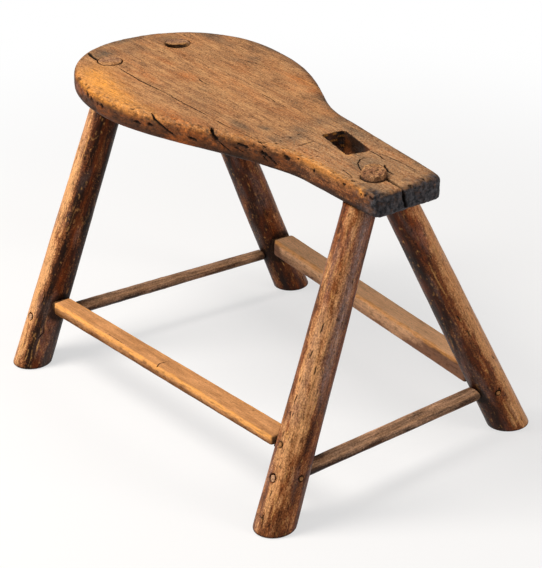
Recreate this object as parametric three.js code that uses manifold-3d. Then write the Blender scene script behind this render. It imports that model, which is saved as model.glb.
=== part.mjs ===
// A saddler's stool: a thick spoon-shaped plank on four splayed round legs. The rider sits
// astride the wide end and faces the neck, where a mortise takes the post of a stitching clamp.
// Millimetres, +Z up, standing on z = 0. +X runs forward to the neck, +Y is the rider's left.

import * as THREE from 'three';
import { mergeVertices } from 'three/addons/utils/BufferGeometryUtils.js';
import Module from 'manifold-3d';

const wasm = await Module();
wasm.setup();

const point = (x, y, z) => new THREE.Vector3(x, y, z);
const spot = (x, y) => new THREE.Vector2(x, y);
const { lerp, smoothstep, degToRad } = THREE.MathUtils;

// Clearance between pieces that touch, how far a cutter or an overlap runs past a face, and the
// side of a block that holds the whole stool.
const GAP = 0.3;
const OVERRUN = 2;
const ROOM = 1000;

// The seat plank. Its outline runs up the rider's left edge and back down the right one. Each
// edge leaves the neck's end, flares out to the widest place and rounds off to the tip at the
// rear. The pulls are the lengths of the handles that shape its two curves.
const SEAT_TOP = 440;
const SEAT_THICKNESS = 35;
const SEAT_UNDERSIDE = SEAT_TOP - SEAT_THICKNESS;
const SEAT_TIP = spot(-343, -14.5);
const TIP_PULL = 90;
const NECK_CORNER = 14;
const CURVE_STEPS = 14;
const LEFT_EDGE = {
  neckEnd: spot(327.3, 51.5),
  neckStart: spot(105, 73),
  widest: spot(-168, 156),
  waistPull: 93,
  flarePull: 139,
  roundPull: 114,
};
const RIGHT_EDGE = {
  neckEnd: spot(327.5, -60.5),
  neckStart: spot(179.5, -58.5),
  widest: spot(-166, -156),
  waistPull: 89,
  flarePull: 119,
  roundPull: 100,
};
// The arrises are worn far rounder under the rider than along the neck. The radius changes
// between two places along the seat.
const TOP_ROUNDING = { wide: 12, neck: 4.5 };
const UNDERSIDE_ROUNDING = { wide: 10, neck: 4.5 };
const ROUNDING_CHANGE = { from: 26, to: 146 };
const ROUNDING_STEPS = 3;

// The clamp mortise, cut right through the neck a little askew.
const MORTISE = { centre: spot(165.5, 18.5), length: 73, width: 34, turn: degToRad(-11) };

// The legs. foot and head are the centres on the floor and, carried on, at the seat's top face,
// with the radii there. The tenon's root is under the seat on the leg's axis, and its end is
// where it shows in the top face, or where it stops in the one that is blind.
const LEG_SIDES = 32;
const LEG_PAST_FLOOR = 30;
const TENON_SIDES = 24;
const LEGS = {
  rear_left: {
    foot: spot(-232.5, 232.6),
    head: spot(-262, 69),
    radius: { foot: 26.8, head: 23.5 },
    tenon: { end: point(-272, 45, SEAT_TOP + 4), radius: { root: 18, end: 16.5 } },
  },
  rear_right: {
    foot: spot(-262.5, -231.5),
    head: spot(-260, -59.5),
    radius: { foot: 28, head: 23 },
    tenon: { end: point(-271, -70.5, SEAT_TOP), radius: { root: 18.5, end: 17 } },
  },
  front_left: {
    foot: spot(297.5, 216.5),
    head: spot(250, 8.5),
    radius: { foot: 28, head: 23 },
    tenon: { end: point(251, 13, SEAT_TOP - 10), radius: { root: 15, end: 13.5 } },
  },
  front_right: {
    foot: spot(313.7, -211.3),
    head: spot(260.5, -19),
    radius: { foot: 28.8, head: 22.5 },
    tenon: { end: point(276.6, -24.2, SEAT_TOP), radius: { root: 18, end: 16.5 } },
    standsProud: true,
  },
};
// The front right tenon stands proud of the seat as a rough eight-sided head.
const PROUD_HEAD = { height: 9.5, radius: 14.8, sides: 8 };

// The stretchers. At each end: the leg, the height of the centre line on that leg's axis, the
// width and thickness there, and the round tenon. reach is how far its end lies past the leg's
// axis, and rise is how much higher it lies than its root. cut is the share of the section
// that is taken off each corner, so that the rods come out eight-sided. Each tenon starts a
// little way inside its bar, and the stub that fills its socket's mouth is half its length.
const BOARD_CUT = 0.12;
const ROD_CUT = 0.29;
const STRETCHERS = {
  side_stretcher_left: {
    cut: BOARD_CUT,
    ends: [
      { leg: 'rear_left', height: 89, size: [36, 27.5], tenon: { radius: 9, reach: 16, rise: 0 } },
      { leg: 'front_left', height: 77, size: [33.5, 28.5], tenon: { radius: 8, reach: -10, rise: 0 } },
    ],
  },
  side_stretcher_right: {
    cut: BOARD_CUT,
    ends: [
      { leg: 'rear_right', height: 93.5, size: [29, 19.5], tenon: { radius: 8, reach: 14, rise: 0 } },
      { leg: 'front_right', height: 101.5, size: [36, 13.5], tenon: { radius: 6, reach: 16, rise: 0 } },
    ],
  },
  cross_stretcher_rear: {
    cut: ROD_CUT,
    ends: [
      { leg: 'rear_right', height: 66, size: [19.5, 19.5], tenon: { radius: 5.5, reach: 34, rise: 10 } },
      { leg: 'rear_left', height: 66, size: [16.5, 16.5], tenon: { radius: 6, reach: 34, rise: 0 } },
    ],
  },
  cross_stretcher_front: {
    cut: ROD_CUT,
    ends: [
      { leg: 'front_right', height: 63.5, size: [21, 21], tenon: { radius: 5.5, reach: 34, rise: 9 } },
      { leg: 'front_left', height: 66, size: [22, 22], tenon: { radius: 6.5, reach: 36, rise: 0 } },
    ],
  },
};
const TENON_OVERLAP = 8;
const STUB_SHARE = 0.5;
const JOINT_SIDES = 16;

// The wooden pegs that lock the stretchers' tenons. Each crosses one tenon at its target, and
// toward is the way out of the leg, where it is trimmed a little proud of the surface.
const PEG_RADIUS = 3.5;
const PEG_SIDES = 12;
const PEG_PAST_TARGET = 11;
const PEG_BEFORE_TRIMMING = 60;
const PEG_PROUD = 0.6;
const PEGS = {
  peg_side_left_rear: {
    joint: ['side_stretcher_left', 0],
    target: point(-238, 199, 88.5),
    toward: point(0, 0.93, 0.36),
  },
  peg_side_left_front: {
    joint: ['side_stretcher_left', 1],
    target: point(271, 181.5, 77),
    toward: point(0, 0.9, 0.43),
  },
  peg_side_right_front: {
    joint: ['side_stretcher_right', 1],
    target: point(300, -167, 101),
    toward: point(0.01, -0.91, 0.42),
  },
  peg_cross_rear_right: {
    joint: ['cross_stretcher_rear', 0],
    target: point(-262, -205, 70),
    toward: point(-1, 0, 0),
  },
  peg_cross_rear_left: {
    joint: ['cross_stretcher_rear', 1],
    target: point(-237, 207, 67),
    toward: point(-1, 0, 0),
  },
  peg_cross_front_right: {
    joint: ['cross_stretcher_front', 0],
    target: point(305.5, -180, 68),
    toward: point(0.98, -0.07, 0.17),
  },
  peg_cross_front_left: {
    joint: ['cross_stretcher_front', 1],
    target: point(291, 183.5, 67),
    toward: point(0.96, -0.25, 0.12),
  },
};

const COLOURS = {
  seat_plank: 0xa6703d,
  leg_rear_left: 0x4e3020,
  leg_rear_right: 0x7a4f2c,
  leg_front_left: 0x7d5330,
  leg_front_right: 0x835631,
  side_stretcher_left: 0xa87a4c,
  side_stretcher_right: 0xbb8447,
  cross_stretcher_rear: 0x6a5038,
  cross_stretcher_front: 0x6f543c,
  peg: 0xa9794a,
};

// Solids and meshes.

function solid(geometry) {
  const bare = geometry.clone();
  bare.deleteAttribute('normal');
  bare.deleteAttribute('uv');
  const merged = mergeVertices(bare);
  return new wasm.Manifold(new wasm.Mesh({
    numProp: 3,
    vertProperties: Float32Array.from(merged.attributes.position.array),
    triVerts: Uint32Array.from(merged.index.array),
  }));
}

function namedMesh(name, body) {
  const { vertProperties, triVerts } = body.getMesh();
  const geometry = new THREE.BufferGeometry();
  geometry.setAttribute('position', new THREE.BufferAttribute(vertProperties, 3));
  geometry.setIndex(new THREE.BufferAttribute(triVerts, 1));
  geometry.computeVertexNormals();
  const color = COLOURS[name] ?? COLOURS.peg;
  const material = new THREE.MeshStandardMaterial({ color, roughness: 0.7, metalness: 0 });
  const mesh = new THREE.Mesh(geometry, material);
  mesh.name = name;
  return mesh;
}

// A round rod between two points, tapering from one radius to the other.
function rod(start, end, startRadius, endRadius, sides) {
  const run = end.clone().sub(start);
  const geometry = new THREE.CylinderGeometry(endRadius, startRadius, run.length(), sides);
  geometry.applyQuaternion(new THREE.Quaternion().setFromUnitVectors(point(0, 1, 0), run.clone().normalize()));
  const middle = start.clone().addScaledVector(run, 0.5);
  return solid(geometry.translate(middle.x, middle.y, middle.z));
}

// The seat.

function roundedCorner(path, before, corner, after, size) {
  const entry = corner.clone().add(before.clone().sub(corner).setLength(size));
  const exit = corner.clone().add(after.clone().sub(corner).setLength(size));
  path.lineTo(entry.x, entry.y);
  path.quadraticCurveTo(corner.x, corner.y, exit.x, exit.y);
}

function alongNeck({ neckEnd, neckStart, waistPull }) {
  return neckStart.clone().add(neckStart.clone().sub(neckEnd).setLength(waistPull));
}

function seatOutline() {
  const left = LEFT_EDGE;
  const right = RIGHT_EDGE;
  const leftWaist = alongNeck(left);
  const rightWaist = alongNeck(right);
  const path = new THREE.Path();
  path.moveTo(right.neckStart.x, right.neckStart.y);
  roundedCorner(path, right.neckStart, right.neckEnd, left.neckEnd, NECK_CORNER);
  roundedCorner(path, right.neckEnd, left.neckEnd, left.neckStart, NECK_CORNER);
  path.lineTo(left.neckStart.x, left.neckStart.y);
  path.bezierCurveTo(
    leftWaist.x, leftWaist.y,
    left.widest.x + left.flarePull, left.widest.y,
    left.widest.x, left.widest.y,
  );
  path.bezierCurveTo(
    left.widest.x - left.roundPull, left.widest.y,
    SEAT_TIP.x, SEAT_TIP.y + TIP_PULL,
    SEAT_TIP.x, SEAT_TIP.y,
  );
  path.bezierCurveTo(
    SEAT_TIP.x, SEAT_TIP.y - TIP_PULL,
    right.widest.x - right.roundPull, right.widest.y,
    right.widest.x, right.widest.y,
  );
  path.bezierCurveTo(
    right.widest.x + right.flarePull, right.widest.y,
    rightWaist.x, rightWaist.y,
    right.neckStart.x, right.neckStart.y,
  );
  return path.getPoints(CURVE_STEPS).slice(0, -1);
}

function outwardNormal(outline, index) {
  const count = outline.length;
  const along = outline[(index + 1) % count].clone().sub(outline[(index + count - 1) % count]);
  return spot(along.y, -along.x).normalize();
}

function rounding({ wide, neck }, x) {
  return lerp(wide, neck, smoothstep(x, ROUNDING_CHANGE.from, ROUNDING_CHANGE.to));
}

// One ring of the plank: the outline drawn in along an arris that turns through a quarter.
// quarter is 0 where the side stands upright and 1 where the flat face begins.
function seatRing(outline, quarter, isTop) {
  const angle = quarter * Math.PI / 2;
  return outline.map((place, index) => {
    const radius = rounding(isTop ? TOP_ROUNDING : UNDERSIDE_ROUNDING, place.x);
    const drawnIn = radius * (1 - Math.cos(angle));
    const fromFace = radius * (1 - Math.sin(angle));
    const at = place.clone().addScaledVector(outwardNormal(outline, index), -drawnIn);
    return [at.x, at.y, isTop ? SEAT_TOP - fromFace : SEAT_UNDERSIDE + fromFace];
  });
}

function seatBlank() {
  const outline = seatOutline();
  const count = outline.length;
  const rings = [];
  for (let step = ROUNDING_STEPS; step >= 0; step--) {
    rings.push(seatRing(outline, step / ROUNDING_STEPS, false));
  }
  for (let step = 0; step <= ROUNDING_STEPS; step++) {
    rings.push(seatRing(outline, step / ROUNDING_STEPS, true));
  }
  const triangles = [];
  for (let ring = 0; ring < rings.length - 1; ring++) {
    for (let index = 0; index < count; index++) {
      const next = (index + 1) % count;
      const [a, b] = [ring * count + index, ring * count + next];
      triangles.push(a, b, b + count, a, b + count, a + count);
    }
  }
  const face = (ring) => THREE.ShapeUtils.triangulateShape(ring.map(([x, y]) => spot(x, y)), []);
  const topStart = (rings.length - 1) * count;
  face(rings[0]).forEach(([a, b, c]) => triangles.push(a, c, b));
  face(rings.at(-1)).forEach(([a, b, c]) => triangles.push(topStart + a, topStart + b, topStart + c));
  const geometry = new THREE.BufferGeometry();
  geometry.setAttribute('position', new THREE.Float32BufferAttribute(rings.flat(2), 3));
  geometry.setIndex(triangles);
  return solid(geometry);
}

function clampMortise() {
  const geometry = new THREE.BoxGeometry(MORTISE.length, MORTISE.width, SEAT_THICKNESS + 2 * OVERRUN);
  geometry.rotateZ(MORTISE.turn);
  return solid(geometry.translate(MORTISE.centre.x, MORTISE.centre.y, SEAT_TOP - SEAT_THICKNESS / 2));
}

function seatPlank() {
  let body = seatBlank().subtract(clampMortise());
  for (const leg of Object.values(LEGS)) {
    body = body.subtract(legTenon(leg, GAP, OVERRUN));
  }
  return body;
}

// The legs.

function legAxis({ foot, head }, height) {
  const share = height / SEAT_TOP;
  return point(lerp(foot.x, head.x, share), lerp(foot.y, head.y, share), height);
}

function legRadius({ radius }, height) {
  return lerp(radius.foot, radius.head, height / SEAT_TOP);
}

// The leg's round surface carried on below the floor and up through the seat.
function legRound(leg, grown) {
  const [low, high] = [-LEG_PAST_FLOOR, SEAT_TOP];
  const radii = [low, high].map((height) => legRadius(leg, height) + grown);
  return rod(legAxis(leg, low), legAxis(leg, high), ...radii, LEG_SIDES);
}

// A tenon whose every level slice is round, so that its end in the seat's face is round too.
function legTenon(leg, grown, above) {
  const root = legAxis(leg, SEAT_UNDERSIDE);
  const { end, radius } = leg.tenon;
  const low = SEAT_UNDERSIDE - GAP - OVERRUN;
  const high = end.z + above;
  const radiusAt = (z) => grown + lerp(radius.root, radius.end, (z - root.z) / (end.z - root.z));
  const geometry = new THREE.CylinderGeometry(radiusAt(high), radiusAt(low), high - low, TENON_SIDES);
  geometry.rotateX(Math.PI / 2);
  geometry.translate(0, 0, (low + high) / 2 - root.z);
  const lean = end.clone().sub(root).divideScalar(end.z - root.z);
  const slant = new THREE.Matrix4().makeBasis(point(1, 0, 0), point(0, 1, 0), lean);
  return solid(geometry.applyMatrix4(slant.setPosition(root)));
}

function proudHead({ end }) {
  const { height, radius, sides } = PROUD_HEAD;
  const geometry = new THREE.CylinderGeometry(radius, radius, height + OVERRUN, sides);
  geometry.rotateX(Math.PI / 2);
  geometry.rotateZ(Math.PI / sides);
  return solid(geometry.translate(end.x, end.y, end.z + (height - OVERRUN) / 2));
}

function legBody(name) {
  const leg = LEGS[name];
  const shoulder = SEAT_UNDERSIDE - GAP;
  const standing = new THREE.BoxGeometry(ROOM, ROOM, shoulder).translate(0, 0, shoulder / 2);
  let body = legRound(leg, 0).intersect(solid(standing)).add(legTenon(leg, 0, 0));
  if (leg.standsProud) {
    body = body.add(proudHead(leg.tenon));
  }
  for (const stretcher of Object.values(STRETCHERS)) {
    stretcher.ends.forEach((end, index) => {
      if (end.leg === name) {
        body = body.subtract(stretcherTenon(stretcher, index, GAP));
      }
    });
  }
  for (const peg of Object.values(PEGS)) {
    if (pegLeg(peg) === name) {
      body = body.subtract(pegRod(peg, GAP));
    }
  }
  return body;
}

// The stretchers.

function stretcherLine({ ends }) {
  return ends.map(({ leg, height }) => legAxis(LEGS[leg], height));
}

// A bar whose section is a unit square with cut corners, carried along the line between the
// two legs' axes and scaled to each end's width and thickness.
function stretcherBar(stretcher) {
  const { cut, ends } = stretcher;
  const [start, finish] = stretcherLine(stretcher);
  const corner = 0.5 - cut;
  const section = new THREE.Shape([
    spot(0.5, -corner), spot(0.5, corner), spot(corner, 0.5), spot(-corner, 0.5),
    spot(-0.5, corner), spot(-0.5, -corner), spot(-corner, -0.5), spot(corner, -0.5),
  ]);
  const geometry = new THREE.ExtrudeGeometry(section, { depth: 1, bevelEnabled: false });
  const run = finish.clone().sub(start);
  const across = point(0, 0, 1).cross(run).normalize();
  const upward = run.clone().cross(across).normalize();
  const places = geometry.attributes.position;
  for (let index = 0; index < places.count; index++) {
    const share = places.getZ(index);
    const width = lerp(ends[0].size[0], ends[1].size[0], share);
    const thickness = lerp(ends[0].size[1], ends[1].size[1], share);
    const place = start.clone().addScaledVector(run, share);
    place.addScaledVector(across, places.getX(index) * width);
    place.addScaledVector(upward, places.getY(index) * thickness);
    places.setXYZ(index, place.x, place.y, place.z);
  }
  return solid(geometry);
}

// The round tenon at one end, from inside the bar to its end in the leg or past it. share is
// how much of that length is made.
function stretcherTenon(stretcher, index, grown, share = 1) {
  const { leg, height, tenon } = stretcher.ends[index];
  const line = stretcherLine(stretcher);
  const outward = line[index].clone().sub(line[1 - index]).normalize();
  const inBar = legRadius(LEGS[leg], height) + TENON_OVERLAP;
  const root = line[index].clone().addScaledVector(outward, -inBar);
  const tip = line[index].clone().addScaledVector(outward, tenon.reach + grown);
  tip.z += tenon.rise;
  const radius = tenon.radius + grown;
  return rod(root, root.clone().lerp(tip, share), radius, radius, JOINT_SIDES);
}

// The bar is coped to the legs' round sides, and a tenon that goes right through is cut off
// flush with the far side of its leg.
function stretcherBody(name) {
  const stretcher = STRETCHERS[name];
  let body = stretcherBar(stretcher);
  stretcher.ends.forEach(({ leg }) => {
    body = body.subtract(legRound(LEGS[leg], GAP));
  });
  stretcher.ends.forEach(({ leg }, index) => {
    const inLeg = stretcherTenon(stretcher, index, 0).intersect(legRound(LEGS[leg], 0));
    body = body.add(stretcherTenon(stretcher, index, 0, STUB_SHARE)).add(inLeg);
  });
  for (const peg of Object.values(PEGS)) {
    if (peg.joint[0] === name) {
      body = body.subtract(pegRod(peg, GAP));
    }
  }
  return body;
}

// The pegs.

function pegLeg({ joint: [stretcher, index] }) {
  return STRETCHERS[stretcher].ends[index].leg;
}

function pegRod({ target, toward }, grown) {
  const way = toward.clone().normalize();
  const inner = target.clone().addScaledVector(way, -PEG_PAST_TARGET - grown);
  const outer = target.clone().addScaledVector(way, PEG_BEFORE_TRIMMING);
  return rod(inner, outer, PEG_RADIUS + grown, PEG_RADIUS + grown, PEG_SIDES);
}

function pegBody(peg) {
  return pegRod(peg, 0).intersect(legRound(LEGS[pegLeg(peg)], PEG_PROUD));
}

// The whole stool.

const stool = new THREE.Group();
stool.name = 'saddlers_stool';
stool.add(namedMesh('seat_plank', seatPlank()));
for (const name of Object.keys(LEGS)) {
  stool.add(namedMesh(`leg_${name}`, legBody(name)));
}
for (const name of Object.keys(STRETCHERS)) {
  stool.add(namedMesh(name, stretcherBody(name)));
}
for (const [name, peg] of Object.entries(PEGS)) {
  stool.add(namedMesh(name, pegBody(peg)));
}

export default stool;
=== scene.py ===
import math
from collections import namedtuple

import bmesh
import bpy
import numpy as np
from mathutils import Matrix, Vector, noise
from mathutils.geometry import interpolate_bezier


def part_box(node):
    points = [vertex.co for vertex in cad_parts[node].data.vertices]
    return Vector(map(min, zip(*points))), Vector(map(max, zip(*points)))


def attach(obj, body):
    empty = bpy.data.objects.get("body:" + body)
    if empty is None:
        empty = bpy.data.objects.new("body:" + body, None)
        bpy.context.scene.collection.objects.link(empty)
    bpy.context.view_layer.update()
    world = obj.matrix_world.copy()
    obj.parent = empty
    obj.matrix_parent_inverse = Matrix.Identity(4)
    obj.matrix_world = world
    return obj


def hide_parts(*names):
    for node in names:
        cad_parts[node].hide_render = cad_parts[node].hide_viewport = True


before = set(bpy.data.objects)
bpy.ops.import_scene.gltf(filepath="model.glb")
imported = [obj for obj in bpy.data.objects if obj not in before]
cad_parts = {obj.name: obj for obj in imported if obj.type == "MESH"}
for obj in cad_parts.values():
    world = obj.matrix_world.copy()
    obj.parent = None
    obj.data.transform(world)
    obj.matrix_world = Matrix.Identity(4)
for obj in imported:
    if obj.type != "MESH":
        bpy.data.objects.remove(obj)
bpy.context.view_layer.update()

bl_info = {
    "name": "Saddler's stool",
    "version": (1, 0, 0),
    "blender": (4, 5, 0),
    "location": "View3D > Sidebar > Stool",
    "description": "Builds a worn saddler's stool of hand-hewn wood around its measured frame",
    "category": "Add Mesh",
}

# The stool is shaped in millimetres and brought to metres when a piece is finished. It stands
# on z = 0. +X runs forward to the seat's neck and +Y is the rider's left.
MM = 0.001
OVERRUN = 2
SEAT_UNDERSIDE, SEAT_TOP = (corner.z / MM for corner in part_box("seat_plank"))
SHOULDER = SEAT_UNDERSIDE - 0.3

# The seat plank's outline. The pulls are the handles of its curves.
SEAT_TIP = Vector((-343, -14.5))
TIP_PULL = 90
NECK_CORNER = 14
NECK_CORNER_STEPS = 7
EDGE_STEPS = 32
LEFT_EDGE = {
    "neck_end": Vector((327.3, 51.5)),
    "neck_start": Vector((105, 73)),
    "widest": Vector((-168, 156)),
    "waist_pull": 93,
    "flare_pull": 139,
    "round_pull": 114,
}
RIGHT_EDGE = {
    "neck_end": Vector((327.5, -60.5)),
    "neck_start": Vector((179.5, -58.5)),
    "widest": Vector((-166, -156)),
    "waist_pull": 89,
    "flare_pull": 119,
    "round_pull": 100,
}
TOP_ROUNDING = {"wide": 12, "neck": 4.5}
UNDERSIDE_ROUNDING = {"wide": 10, "neck": 4.5}
ROUNDING_CHANGE = (26, 146)
ROUNDING_STEPS = 6
# The burnt end of the neck is worn rounder, more and more between these two places along it.
BURNT_END = (296, 326)
BURNT_END_ROUNDING = 3.5
MORTISE_CENTRE = Vector((165.5, 18.5))
MORTISE_CORNER = 2.5

# The legs: foot and head are the centres on the floor and at the height of the seat's top. The
# tenon leans from the shoulder to its end, in a hole that has worn wider and off its centre.
LEG_SIDES = 72
TENON_SIDES = 56
LEG_PAST_FLOOR = 30
LEGS = {
    "rear_left": {
        "foot": Vector((-232.5, 232.6)), "head": Vector((-262, 69)), "radius": (26.8, 23.5),
        "tenon_end": Vector((-272, 45, SEAT_TOP + 4)), "tenon_radius": (18, 16.5),
        "hole_wear": 2.1, "hole_shift": Vector((-0.3, -1.3, 0)),
    },
    "rear_right": {
        "foot": Vector((-262.5, -231.5)), "head": Vector((-260, -59.5)), "radius": (28, 23),
        "tenon_end": Vector((-271, -70.5, SEAT_TOP)), "tenon_radius": (18.5, 17),
        "hole_wear": 1.3, "hole_shift": Vector((0.8, -0.3, 0)),
    },
    "front_left": {
        "foot": Vector((297.5, 216.5)), "head": Vector((250, 8.5)), "radius": (28, 23),
        "tenon_end": Vector((251, 13, SEAT_TOP - 10)), "tenon_radius": (15, 13.5),
        "hole_wear": 0.6, "hole_shift": Vector((0, 0, 0)),
    },
    "front_right": {
        "foot": Vector((313.7, -211.3)), "head": Vector((260.5, -19)), "radius": (28.8, 22.5),
        "tenon_end": Vector((276.6, -24.2, SEAT_TOP)), "tenon_radius": (18, 16.5),
        "hole_wear": 0.1, "hole_shift": Vector((0, 0, 0)),
    },
}

# The tenon head that stands proud of the seat: its height over the tenon's end, its radius at the
# bottom and on top, its far edge's distance from the middle, where its worn top is highest, how
# far it is stretched along and across, and how far it is turned and shifted.
PROUD_HEAD = {
    "leg": "front_right", "height": 9.4, "radii": (17.6, 15.6), "far_edge": 16, "rounding": 1.8, "sides": 8,
    "stretched": (1.28, 1.02), "turn": math.radians(-37), "shift": Vector((-3.4, 2.5)),
}

# The stretchers' ends: the leg, the height on it, the width and thickness there, and the
# tenon's radius, its reach past the leg's axis and its rise.
JOINT_SIDES = 24
TENON_OVERLAP = 8
StretcherEnd = namedtuple("StretcherEnd", "leg height size radius reach rise")
STRETCHERS = {
    "side_stretcher_left": (
        StretcherEnd("rear_left", 89, (36, 27.5), 9, 16, 0),
        StretcherEnd("front_left", 77, (33.5, 28.5), 8, -10, 0),
    ),
    "side_stretcher_right": (
        StretcherEnd("rear_right", 93.5, (29, 19.5), 8, 14, 0),
        StretcherEnd("front_right", 101.5, (36, 13.5), 6, 16, 0),
    ),
    "cross_stretcher_rear": (
        StretcherEnd("rear_right", 66, (19.5, 19.5), 5.5, 34, 10),
        StretcherEnd("rear_left", 66, (16.5, 16.5), 6, 34, 0),
    ),
    "cross_stretcher_front": (
        StretcherEnd("front_right", 63.5, (21, 21), 5.5, 34, 9),
        StretcherEnd("front_left", 66, (22, 22), 6.5, 36, 0),
    ),
}

# Clearances: round a tenon in its hole, round a peg in its leg and in its tenon, and how far a
# through tenon stops inside the leg's skin. A tenon's neck starts inside the bar and stops
# NECK_END short of the leg's axis.
TENON_HOLE_GAP = 0.7
PEG_GAP_IN_LEG = 0.4
PEG_GAP_IN_TENON = 0.3
THROUGH_END_DEPTH = 0.4
NECK_END = 14
PEG_MESH_STEP = 0.5

# The pegs: the joint that each one locks, the point in the tenon that it crosses, the way out of
# the leg, and how much grime has gathered round it.
PEG_PAST_TARGET = 11
PEG_BEFORE_TRIMMING = 60
PEG_SIDES = 24
Peg = namedtuple("Peg", "stretcher end target toward grime")
PEGS = {
    "peg_side_left_rear": Peg(
        "side_stretcher_left", 0, Vector((-238, 199, 88.5)), Vector((0, 0.93, 0.36)), 0.6),
    "peg_side_left_front": Peg(
        "side_stretcher_left", 1, Vector((271, 181.5, 77)), Vector((0, 0.9, 0.43)), 0.6),
    "peg_side_right_front": Peg(
        "side_stretcher_right", 1, Vector((300, -167, 101)), Vector((0.01, -0.91, 0.42)), 0.6),
    "peg_cross_rear_right": Peg(
        "cross_stretcher_rear", 0, Vector((-262, -205, 70)), Vector((-1, 0, 0)), 0.1),
    "peg_cross_rear_left": Peg(
        "cross_stretcher_rear", 1, Vector((-237, 207, 67)), Vector((-1, 0, 0)), 0.5),
    "peg_cross_front_right": Peg(
        "cross_stretcher_front", 0, Vector((305.5, -180, 68)), Vector((0.98, -0.07, 0.17)), 0.85),
    "peg_cross_front_left": Peg(
        "cross_stretcher_front", 1, Vector((291, 183.5, 67)), Vector((0.96, -0.25, 0.12)), 0.7),
}

# A mark is a cut or a knock in the wood: the points that it runs through, how wide it is open
# and how deep it goes.
Mark = namedtuple("Mark", "line width depth")

# Shrinkage checks and splits in the seat's top and neck.
SEAT_CHECKS = (
    Mark(((-319, -77, 440), (-300, -82, 440), (-283, -84, 440)), 5.4, 3.5),
    Mark(((-248, -75, 440), (-210, -77, 440), (-176, -78.3, 440), (-121, -75.6, 440)), 2.6, 2),
    Mark(((-121, -75.6, 440), (-63, -77, 440), (-12, -76.4, 440)), 2, 1.5),
    Mark(((-12, -76.4, 440), (18.5, -76.8, 440), (57, -74, 440), (91, -72.7, 440)), 1.6, 1.2),
    Mark(((91, -72.7, 440), (110, -71.7, 434)), 2, 1.5),
    Mark(((284, -13.8, 440), (312.5, -15.9, 440), (321, -16.2, 439), (326, -16.4, 435.5)), 5.4, 12),
    Mark(((326, -16.4, 436.5), (328, -15.1, 425), (328, -8.6, 404)), 5, 11),
    Mark(((206, 26, 440), (224, 25.5, 440), (244, 22.5, 440)), 2.2, 1.5),
    Mark(((254, 12, 440), (262, 7, 440), (271, 3, 440), (284, 2, 440)), 3.8, 2.6),
    Mark(((252, -1, 440), (262, -6, 440), (270, -7, 440)), 2.6, 1.6),
    Mark(((255, -25, 440), (243, -20.5, 440), (228.6, -12.2, 440), (220.9, -1.6, 440),
          (220.7, 5.2, 440), (226, 13, 440)), 2, 1.2),
    Mark(((138.2, -41, 440), (138.2, -26, 440), (138, -12.3, 440)), 1.8, 1.1),
    Mark(((-72.6, -131.2, 439), (-62, -134.5, 434.5), (-48.4, -132.1, 427.9), (-38.9, -128.8, 423.2),
          (-27.8, -124.7, 418)), 3.6, 2.8),
    Mark(((18, -96, 440), (29.2, -101, 432.3), (37.3, -99, 426.6)), 5.4, 5),
    Mark(((37, -99, 427), (46, -96, 421), (56, -92, 416)), 2.2, 1.6),
    Mark(((-139, -140, 438), (-128, -149, 431)), 5, 3),
    Mark(((-115, -146, 430), (-108, -148, 426)), 3, 2),
    Mark(((110, -71, 425), (118, -69, 419), (128, -66, 414)), 2.6, 2),
    Mark(((104, -74, 421), (112, -71, 414)), 2.2, 1.6),
    Mark(((60, -90, 424), (76, -84, 419)), 2, 1.4),
    Mark(((-166, 84, 440), (-140, 92, 440), (-118, 96, 440)), 1.8, 1.1),
    Mark(((-137, -8, 440), (-124, -10, 440), (-108, -10, 440)), 1.8, 1),
    Mark(((-40, 30, 440), (-22, 30, 440), (2, 27, 440)), 1.5, 0.9),
    Mark(((230, -40, 440), (262, -47, 440)), 1.5, 0.9),
    Mark(((215, 30, 440), (262, 34, 440), (300, 33, 440)), 1.3, 0.8),
)
# Knocks and pits along the arris nearest the rider's right hand.
SEAT_KNOCKS = (
    Mark(((-206, -152, 430), (-199, -154, 428)), 6.5, 2.6),
    Mark(((-191.8, -154.7, 427.9),), 7, 2.4),
    Mark(((-173.6, -155.7, 425.7),), 6, 2.2),
    Mark(((-162.6, -155.8, 425.7),), 8, 2.8),
    Mark(((-96, -146, 422.5), (-84.6, -143.5, 422.1)), 6.5, 2.6),
    Mark(((-72.2, -139.8, 425.3), (-64, -137.4, 424)), 6.5, 2.6),
    Mark(((-7.4, -117, 421.2), (6.9, -111.2, 419.3)), 5, 2.2),
    Mark(((65.3, -87.7, 429.9), (81.6, -81.5, 427.9)), 5.5, 2.2),
    Mark(((101, -75, 426), (110.5, -71.5, 424.2)), 8, 3.6),
    Mark(((138, -64, 430), (146.4, -62.1, 428.7)), 7, 3),
    Mark(((162.5, -59.5, 434.7),), 5, 2),
    Mark(((195.1, -58.7, 428.5),), 6.5, 2.6),
    Mark(((258.5, -59.6, 432.3),), 7, 2.4),
    Mark(((267.9, -52.3, 440),), 6, 1.8),
    Mark(((293.6, -60, 431.5),), 4.5, 2),
    Mark(((302, -60, 433),), 4.5, 2),
    Mark(((310, -60, 434), (317, -60, 432.8)), 4.5, 2),
    Mark(((314, 23.4, 440), (322, 23, 440)), 4.6, 3),
    Mark(((319, -2, 440), (326, -1, 439)), 4.4, 2.8),
    Mark(((107.6, -16.2, 440),), 5, 1.8),
    Mark(((109.7, -32.1, 440),), 4, 1.3),
    Mark(((111, -48.3, 440),), 4, 1.2),
    Mark(((113.6, -58.8, 440),), 4, 1.2),
    Mark(((104, -40, 440),), 3.4, 1),
    Mark(((160.4, -47, 440),), 4.6, 1.5),
    Mark(((172.1, -45.5, 440),), 4, 1.3),
    Mark(((179.4, -42.4, 440),), 3.6, 1.2),
)

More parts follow.
